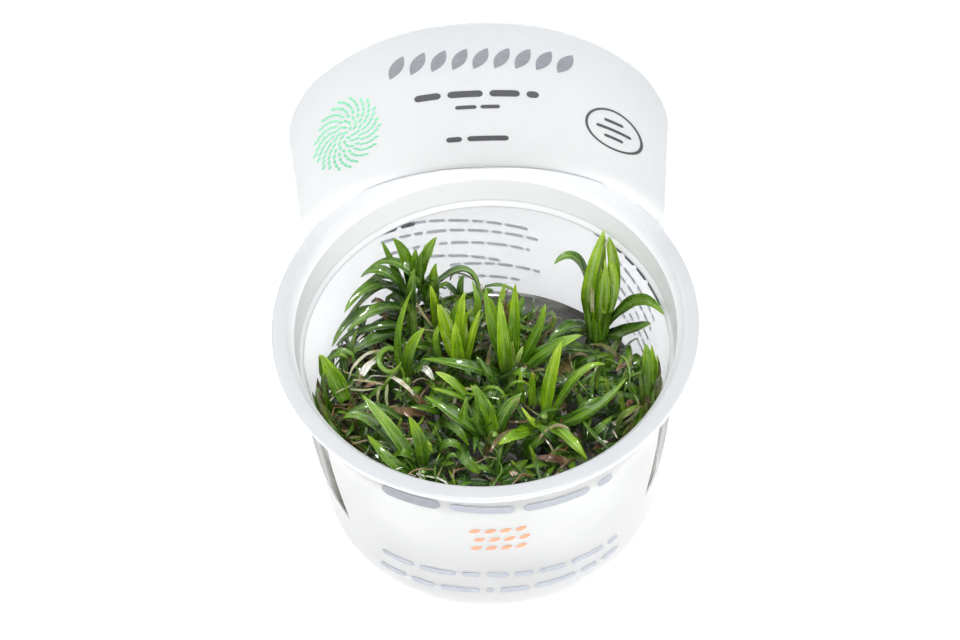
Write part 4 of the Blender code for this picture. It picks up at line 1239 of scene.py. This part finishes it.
def gel_profile():
    """The gel, which climbs a little where it wets the wall."""
    skin = GEL_TOP - 0.0002
    under = FLOOR + CLEARANCE
    flat = [(GEL_RADIUS_TOP * share, skin) for share in (0.0, 0.2, 0.4, 0.6, 0.8)]
    creep = [
        (GEL_RADIUS_TOP - 0.004 * (1 - t), skin + 0.0010 * t**3) for t in (0.0, 0.4, 0.7, 0.9, 1.0)
    ]
    foot = [(GEL_RADIUS_BOTTOM, FLOOR + 0.0022), (GEL_RADIUS_BOTTOM - 0.0012, under), (0, under)]
    return flat + creep + foot


def card_cone(z):
    """Inner radius of the card where it lies against the cup."""
    return CARD_BOTTOM_RADIUS + (CARD_TOP_RADIUS - CARD_BOTTOM_RADIUS) * z / FRONT_TOP


def header_radius(angle):
    """Distance of the flared header from the axis, at an angle from +Y."""
    across = abs(math.sin(angle)) / HEADER_A
    along = abs(math.cos(angle)) / HEADER_B
    return (across**HEADER_POWER + along**HEADER_POWER) ** (-1 / HEADER_POWER)


def card_point(angle, z, flares, proud=0.0):
    """A point on the card's inner face, or proud of it. angle is measured from +Y to +X."""
    radius = card_cone(min(z, FRONT_TOP))
    lean = 0.0
    if flares:
        flare = ramp(FLARE_START, FLARE_END, z)
        radius = (1 - flare) * radius + flare * header_radius(angle)
        lean = max(0.0, z - FLANGE_HEIGHT) * math.tan(HEADER_LEAN)
    radius += proud
    return Vector((radius * math.sin(angle), radius * math.cos(angle) + lean, z))


def header_angle(x):
    """Angle from +Y where the header is x from the middle."""
    angle = math.asin(x / HEADER_A)
    for _ in range(30):
        angle = math.asin(x / header_radius(angle))
    return angle


def header_top(x):
    """Height of the header's crowned top edge, with its rounded corners."""
    crown = HEADER_CROWN_RADIUS - math.sqrt(HEADER_CROWN_RADIUS**2 - x * x)
    into_corner = abs(x) - (HEADER_HALF_WIDTH - HEADER_CORNER)
    drop = 0.0
    if into_corner > 0:
        across = min(into_corner, HEADER_CORNER)
        drop = HEADER_CORNER - math.sqrt(HEADER_CORNER**2 - across**2)
    return HEADER_HEIGHT - crown - drop


def card_grid(bm, columns, rows, place):
    """A grid of columns by rows cells whose corners are put where place(u, v) says."""
    corners = [
        [bm.verts.new(place(c / columns, r / rows)) for c in range(columns + 1)]
        for r in range(rows + 1)
    ]
    for low, high in zip(corners, corners[1:]):
        for c in range(columns):
            bm.faces.new((low[c], low[c + 1], high[c + 1], high[c]))


def make_card(material):
    """One card: a ring round the foot, a front panel and a flared back with the header."""
    edge = header_angle(HEADER_HALF_WIDTH)
    tip_left = -(math.pi - SLIT_TIP_ANGLE) - FRONT_TWIST
    tip_right = math.pi - SLIT_TIP_ANGLE - FRONT_TWIST
    spread, back, front = 28, 72, 90

    def angle_at(column):
        """Angle of a back column: the slanted left edge, the header, the right edge."""
        if column <= spread:
            return tip_left + (-edge - tip_left) * column / spread
        if column <= spread + back:
            across = math.sin(((column - spread) / back - 0.5) * math.pi)
            return header_angle(HEADER_HALF_WIDTH * across)
        return edge + (tip_right - edge) * (column - spread - back) / spread

    def panel_top(angle):
        """Top of the back panel below the header's foot, cut on a slant at both sides."""
        if abs(angle) <= edge + 1e-6:
            return FRONT_TOP
        tip = tip_left if angle < 0 else tip_right
        share = (angle - tip) / (math.copysign(edge, angle) - tip)
        return SLIT_TIP + (FRONT_TOP - SLIT_TIP) * share**1.5

    def place_ring_back(u, v):
        return card_point(angle_at(u * columns), CARD_BOTTOM + (SLIT_TIP - CARD_BOTTOM) * v, True)

    def place_ring_front(u, v):
        angle = tip_right + (tip_left + 2 * math.pi - tip_right) * u
        return card_point(angle, CARD_BOTTOM + (SLIT_TIP - CARD_BOTTOM) * v, False)

    def place_front(u, v):
        narrowing = (SLIT_TOP_ANGLE - SLIT_TIP_ANGLE) * v + SLIT_BULGE * math.sin(math.pi * v)
        start = tip_right - narrowing
        end = tip_left + 2 * math.pi + narrowing
        return card_point(start + (end - start) * u, SLIT_TIP + (FRONT_TOP - SLIT_TIP) * v, False)

    def place_back(u, v):
        angle = angle_at(u * columns)
        return card_point(angle, SLIT_TIP + (panel_top(angle) - SLIT_TIP) * v, True)

    def place_header(u, v):
        angle = angle_at(spread + back * u)
        x = header_radius(angle) * math.sin(angle)
        return card_point(angle, FRONT_TOP + (header_top(x) - FRONT_TOP) * v, True)

    columns = 2 * spread + back
    bm = bmesh.new()
    card_grid(bm, columns, 3, place_ring_back)
    card_grid(bm, front, 3, place_ring_front)
    card_grid(bm, front, 12, place_front)
    card_grid(bm, columns, 24, place_back)
    card_grid(bm, back, 30, place_header)
    bmesh.ops.remove_doubles(bm, verts=bm.verts, dist=0.00002)
    bmesh.ops.recalc_face_normals(bm, faces=bm.faces)
    bm.faces.ensure_lookup_table()
    if sum(face.normal.dot(face.calc_center_median().xy.to_3d()) for face in bm.faces) < 0:
        bmesh.ops.reverse_faces(bm, faces=bm.faces)
    mesh = bpy.data.meshes.new("card_wrap")
    bm.to_mesh(mesh)
    bm.free()
    mesh.materials.append(material)
    mesh.shade_smooth()
    card = add_piece("card_wrap", mesh)
    thickness = card.modifiers.new("thickness", "SOLIDIFY")
    thickness.thickness = CARD_THICK
    thickness.offset = 1
    opening = card.modifiers.new("flange slot", "BOOLEAN")
    opening.operation = "DIFFERENCE"
    opening.object = slot_block()
    bpy.context.view_layer.update()
    finished = card.evaluated_get(bpy.context.evaluated_depsgraph_get())
    card.data = bpy.data.meshes.new_from_object(finished)
    bpy.data.objects.remove(opening.object, do_unlink=True)
    card.modifiers.clear()
    card.data.set_sharp_from_angle(angle=math.radians(35))
    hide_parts("card_sleeve")


def slot_block():
    """A block as wide and high as the slot that the flange comes through."""
    mesh = bpy.data.meshes.new("slot block")
    corners = [
        (x, y, z)
        for x in (-SLOT_HALF_WIDTH, SLOT_HALF_WIDTH)
        for y in (SLOT_NEAR, SLOT_FAR)
        for z in (SLOT_BOTTOM, SLOT_TOP)
    ]
    faces = [(0, 1, 3, 2), (4, 6, 7, 5), (0, 4, 5, 1), (2, 3, 7, 6), (0, 2, 6, 4), (1, 5, 7, 3)]
    mesh.from_pydata(corners, [], faces)
    block = bpy.data.objects.new("slot block", mesh)
    bpy.context.scene.collection.objects.link(block)
    return block


# Print, as thin plates of ink on the card. A face maps (across, height, proud) to a point


def header_face(x, z, proud):
    """The header's inner face, by distance from its middle."""
    return card_point(header_angle(x), z, True, -proud)


def back_face(degrees, z, proud):
    """The back panel's inner face, by angle from +Y towards +X."""
    return card_point(math.radians(degrees), z, True, -proud)


def front_face(degrees, z, proud):
    """The front panel's outer face, by angle from -Y towards +X."""
    return card_point(math.pi - math.radians(degrees), z, False, CARD_THICK + proud)


def add_patch(pile, face, rows):
    """A closed plate over columns of (across, low z, high z)."""
    points = []
    for across, low, high in rows:
        points += [
            face(across, low, PRINT_GAP),
            face(across, high, PRINT_GAP),
            face(across, high, PRINT_TOP),
            face(across, low, PRINT_TOP),
        ]
    pile.add([tuple(point) for point in points], loft_faces(len(rows), 4, False))


def add_bar(pile, face, start, end, height, unit_width=1.0):
    """A bar with round ends from start to end, each (across, z). unit_width is the real
    width of one unit across."""
    length = math.hypot((end[0] - start[0]) * unit_width, end[1] - start[1])
    curve = height / 2
    cap = [curve * (1 - math.cos(math.pi / 2 * i / 5)) for i in range(6)]
    body = max(2, int(length / 0.0012))
    straight = [curve + (length - height) * i / body for i in range(1, body)]
    stops = cap + straight + [length - c for c in reversed(cap)]
    rows = []
    for stop in stops:
        share = stop / length
        end_round = min(1.0, min(stop, length - stop) / curve)
        half = curve * math.sqrt(max(0.01, 1 - (1 - end_round) ** 2))
        across = start[0] + (end[0] - start[0]) * share
        middle = start[1] + (end[1] - start[1]) * share
        rows.append((across, middle - half, middle + half))
    add_patch(pile, face, rows)


def add_words(pile, face, rng, start, end, height, unit_width=1.0):
    """A row of bars as long as words are, from start to end."""
    span = (end[0] - start[0]) * unit_width
    done = 0.0
    while done < span - height:
        word = min(rng.uniform(2.2, 5.5) * height, span - done)
        if span - done - word < 1.5 * height:
            word = span - done
        ends = [
            [a + (b - a) * travel / span for a, b in zip(start, end)]
            for travel in (done, done + word)
        ]
        add_bar(pile, face, *ends, height, unit_width)
        done += word + 0.75 * height


def add_lozenge(pile, face, centre, length, width, angle, unit_width=1.0):
    """A pointed oval, turned by an angle."""
    steps = 12
    cos, sin = math.cos(angle), math.sin(angle)
    outline = []
    for side in (-1, 1):
        for i in range(steps):
            s = side * (1 - 2 * i / steps)
            outline.append((s * length / 2, side * width / 2 * (1 - s * s)))
    points = []
    for proud in (PRINT_GAP, PRINT_TOP):
        for a, b in outline:
            across = centre[0] + (a * cos - b * sin) / unit_width
            points.append(face(across, centre[1] + a * sin + b * cos, proud))
    size = len(outline)
    middle = len(points)
    points += [face(*centre, PRINT_GAP), face(*centre, PRINT_TOP)]
    faces = []
    for i in range(size):
        j = (i + 1) % size
        faces += [(i, j, size + j, size + i), (j, i, middle), (size + i, size + j, middle + 1)]
    pile.add([tuple(point) for point in points], faces)


def add_ring(pile, face, centre, radius, stroke):
    """A flat ring."""
    steps = 48
    points = []
    for i in range(steps):
        a = 2 * math.pi * i / steps
        for reach in (radius - stroke, radius):
            spot = (centre[0] + reach * math.cos(a), centre[1] + reach * math.sin(a))
            points += [face(*spot, PRINT_GAP), face(*spot, PRINT_TOP)]
    faces = []
    for i in range(steps):
        a, b = 4 * i, 4 * ((i + 1) % steps)
        for p, q in ((0, 1), (1, 3), (3, 2), (2, 0)):
            faces.append((a + p, a + q, b + q, b + p))
    pile.add([tuple(point) for point in points], faces)


def build_print(pile, name, colour, through=0.0):
    """Makes a piece of print, in an ink of its own."""
    pile.build(name, ink_material(name.replace("_", " "), colour, through), "white_card", 30)


def make_header_print():
    """Plain ornaments and bars where the header has its print."""
    rng = random.Random(3)
    title = Pile()
    for i in range(9):
        centre = (-0.0187 + i * 0.0049, 0.0975)
        add_lozenge(title, header_face, centre, 0.0074, 0.0031, math.radians(62))
    build_print(title, "title_band", GREY_INK)
    lines = Pile()
    for left, right, z, height in (
        (-0.0152, 0.0143, 0.0861, 0.0021),
        (-0.0057, 0.0050, 0.0817, 0.0012),
        (-0.0083, 0.0068, 0.0710, 0.0017),
    ):
        add_words(lines, header_face, rng, (left, z), (right, z), height)
    ring_x, ring_z = 0.0317, 0.0805
    add_ring(lines, header_face, (ring_x, ring_z), 0.0066, 0.0006)
    for row, half in enumerate((0.0022, 0.0040, 0.0022)):
        z = ring_z + 0.0026 * (1 - row)
        add_bar(lines, header_face, (ring_x - half, z), (ring_x + half, z), 0.0009)
    build_print(lines, "header_lines", DARK_INK)
    picture = Pile()
    count = 130
    for i in range(1, count):
        reach = math.sqrt(i / count)
        angle = i * math.radians(137.5)
        across = -0.0312 + 0.0076 * reach * math.cos(angle)
        z = 0.0820 + 0.0112 * reach * math.sin(angle)
        add_lozenge(picture, header_face, (across, z), 0.0016, 0.0007, angle + 0.6)
    build_print(picture, "header_picture", GREEN_INK)


def make_panel_print():
    """Bars and plain shapes on the front panel and inside the back panel."""
    rng = random.Random(17)
    per_degree = math.radians(1) * PANEL_RADIUS

    def add_row(pile, face, start, end, height):
        add_words(pile, face, rng, start, end, height, per_degree)

    bold = Pile()
    add_row(bold, front_face, (-32, 0.0496), (-14, 0.0503), 0.0042)
    build_print(bold, "front_band_dark", GREY_INK)
    light = Pile()
    add_row(light, front_face, (-11, 0.0503), (38, 0.0471), 0.0030)
    for start, middle, end, low, high, last in (
        (-38, -4, 44, 0.0146, 0.0175, 0.0131),
        (-40, 0, 45, 0.0070, 0.0093, 0.0068),
    ):
        add_row(light, front_face, (start, low), (middle, high), 0.0021)
        add_row(light, front_face, (middle + 2, high), (end, last), 0.0021)
    build_print(light, "front_lines_light", PALE_INK)
    mark = Pile()
    for row in range(3):
        for column in range(4):
            centre = (-4.6 + 4.5 * column + 1.1 * (row % 2), 0.0395 - 0.0042 * row)
            add_lozenge(mark, front_face, centre, 0.0031, 0.0017, math.radians(25), per_degree)
    build_print(mark, "front_mark", ORANGE_INK)
    rows = Pile()
    for start, end, low, high in (
        (-35.6, 13.8, 0.0460, 0.0388),
        (-34.0, 17.1, 0.0416, 0.0356),
        (-31.6, 14.5, 0.0369, 0.0317),
        (-30.5, 4.5, 0.0338, 0.0272),
        (-12.4, 18.1, 0.0270, 0.0248),
        (-10.0, 11.2, 0.0222, 0.0205),
    ):
        add_row(rows, back_face, (start, low), (end, high), 0.0010)
    for i in range(5):
        low = 0.0392 - 0.0034 * i
        add_row(rows, back_face, (43 + 1.5 * i, low), (66, low - 0.0062), 0.0009)
    build_print(rows, "inner_rows", FAINT_INK, 0.75)
    headings = Pile()
    add_row(headings, back_face, (-41.3, 0.0448), (-19.2, 0.0436), 0.0013)
    add_row(headings, back_face, (35.0, 0.0436), (66.0, 0.0385), 0.0013)
    build_print(headings, "inner_headings", GREY_INK, 0.45)


# Studio


def make_lights():
    """Soft even studio light: a pale surround, a large box in front, a small one above for
    the glints on wet leaves, one at each side and a dim one behind."""
    scene = bpy.context.scene
    world = bpy.data.worlds.new("studio")
    world.use_nodes = True
    surround = world.node_tree.nodes["Background"]
    surround.inputs["Color"].default_value = (0.97, 0.985, 1.0, 1)
    surround.inputs["Strength"].default_value = 0.40
    scene.world = world
    boxes = (
        ("front box", (0.10, -0.60, 0.95), 0.90, 8.1),
        ("top box", (0.05, -0.15, 1.05), 0.22, 7.0),
        ("left box", (-0.80, -0.10, 0.60), 0.45, 2.0),
        ("right box", (0.80, -0.10, 0.60), 0.45, 1.8),
        ("back box", (-0.30, 0.55, 0.85), 0.16, 0.8),
    )
    for name, place, size, power in boxes:
        light = bpy.data.lights.new(name, "AREA")
        light.size = size
        light.energy = power
        lamp = bpy.data.objects.new(name, light)
        lamp.location = place
        away = Vector(place) - Vector((0, 0, 0.04))
        lamp.rotation_euler = away.to_track_quat("Z", "Y").to_euler()
        scene.collection.objects.link(lamp)


def make_floor():
    """A white floor that glows a little, just under the cup's base."""
    mesh = bpy.data.meshes.new("floor")
    reach = 4.0
    corners = [(x * reach, y * reach, 0) for x, y in ((-1, -1), (1, -1), (1, 1), (-1, 1))]
    mesh.from_pydata(corners, [], [(0, 1, 2, 3)])
    m = Nodes("white sweep")
    m.colour(m.mottled((0.86, 0.86, 0.86), (0.88, 0.88, 0.88), 3))
    m.set(Roughness=0.7, Emission_Color=(1, 1, 1, 1), Emission_Strength=0.68, Specular_IOR_Level=0.2)
    mesh.materials.append(m.material)
    floor = bpy.data.objects.new("floor", mesh)
    floor.location.z = -0.0001
    bpy.context.scene.collection.objects.link(floor)


def make_camera():
    """The photo's camera: its height and distance, turned about the cup and rolled."""
    scene = bpy.context.scene
    back = Vector((0, -math.cos(CAMERA_ELEVATION), math.sin(CAMERA_ELEVATION)))
    right = Vector((1, 0, 0))
    up = back.cross(right)
    rolled_right = right * math.cos(CAMERA_ROLL) + up * math.sin(CAMERA_ROLL)
    rolled_up = up * math.cos(CAMERA_ROLL) - right * math.sin(CAMERA_ROLL)
    turn = Matrix.Rotation(CAMERA_TURN, 3, "Z")
    axes = turn @ Matrix((rolled_right, rolled_up, back)).transposed()
    place = turn @ (Vector(CAMERA_TARGET) + back * CAMERA_DISTANCE)
    data = bpy.data.cameras.new("camera")
    data.lens = CAMERA_LENS
    data.sensor_width = CAMERA_SENSOR
    camera = bpy.data.objects.new("camera", data)
    camera.matrix_world = Matrix.Translation(place) @ axes.to_4x4()
    scene.collection.objects.link(camera)
    scene.camera = camera
    scene.view_settings.view_transform = "Standard"


make_camera()
make_lights()
make_floor()
leaf_look = leaf_material()
make_leaves(leaf_look)
make_stems(stem_material())
make_undergrowth(leaf_look)
make_roots(root_material())
make_scraps(scrap_material())
cup_looks = (plastic_material(), milky_material(), painted_shade_material())
milky_from = LEDGE_HEIGHT - 0.0004
cup = turned("clear_cup", cup_profile(), CUP_STEPS, cup_looks, milky_from)
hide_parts("cup")
gel = turned("wet_gel", gel_profile(), 128, (gel_material(),))
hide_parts("agar_gel")
make_card(card_material())
make_header_print()
make_panel_print()
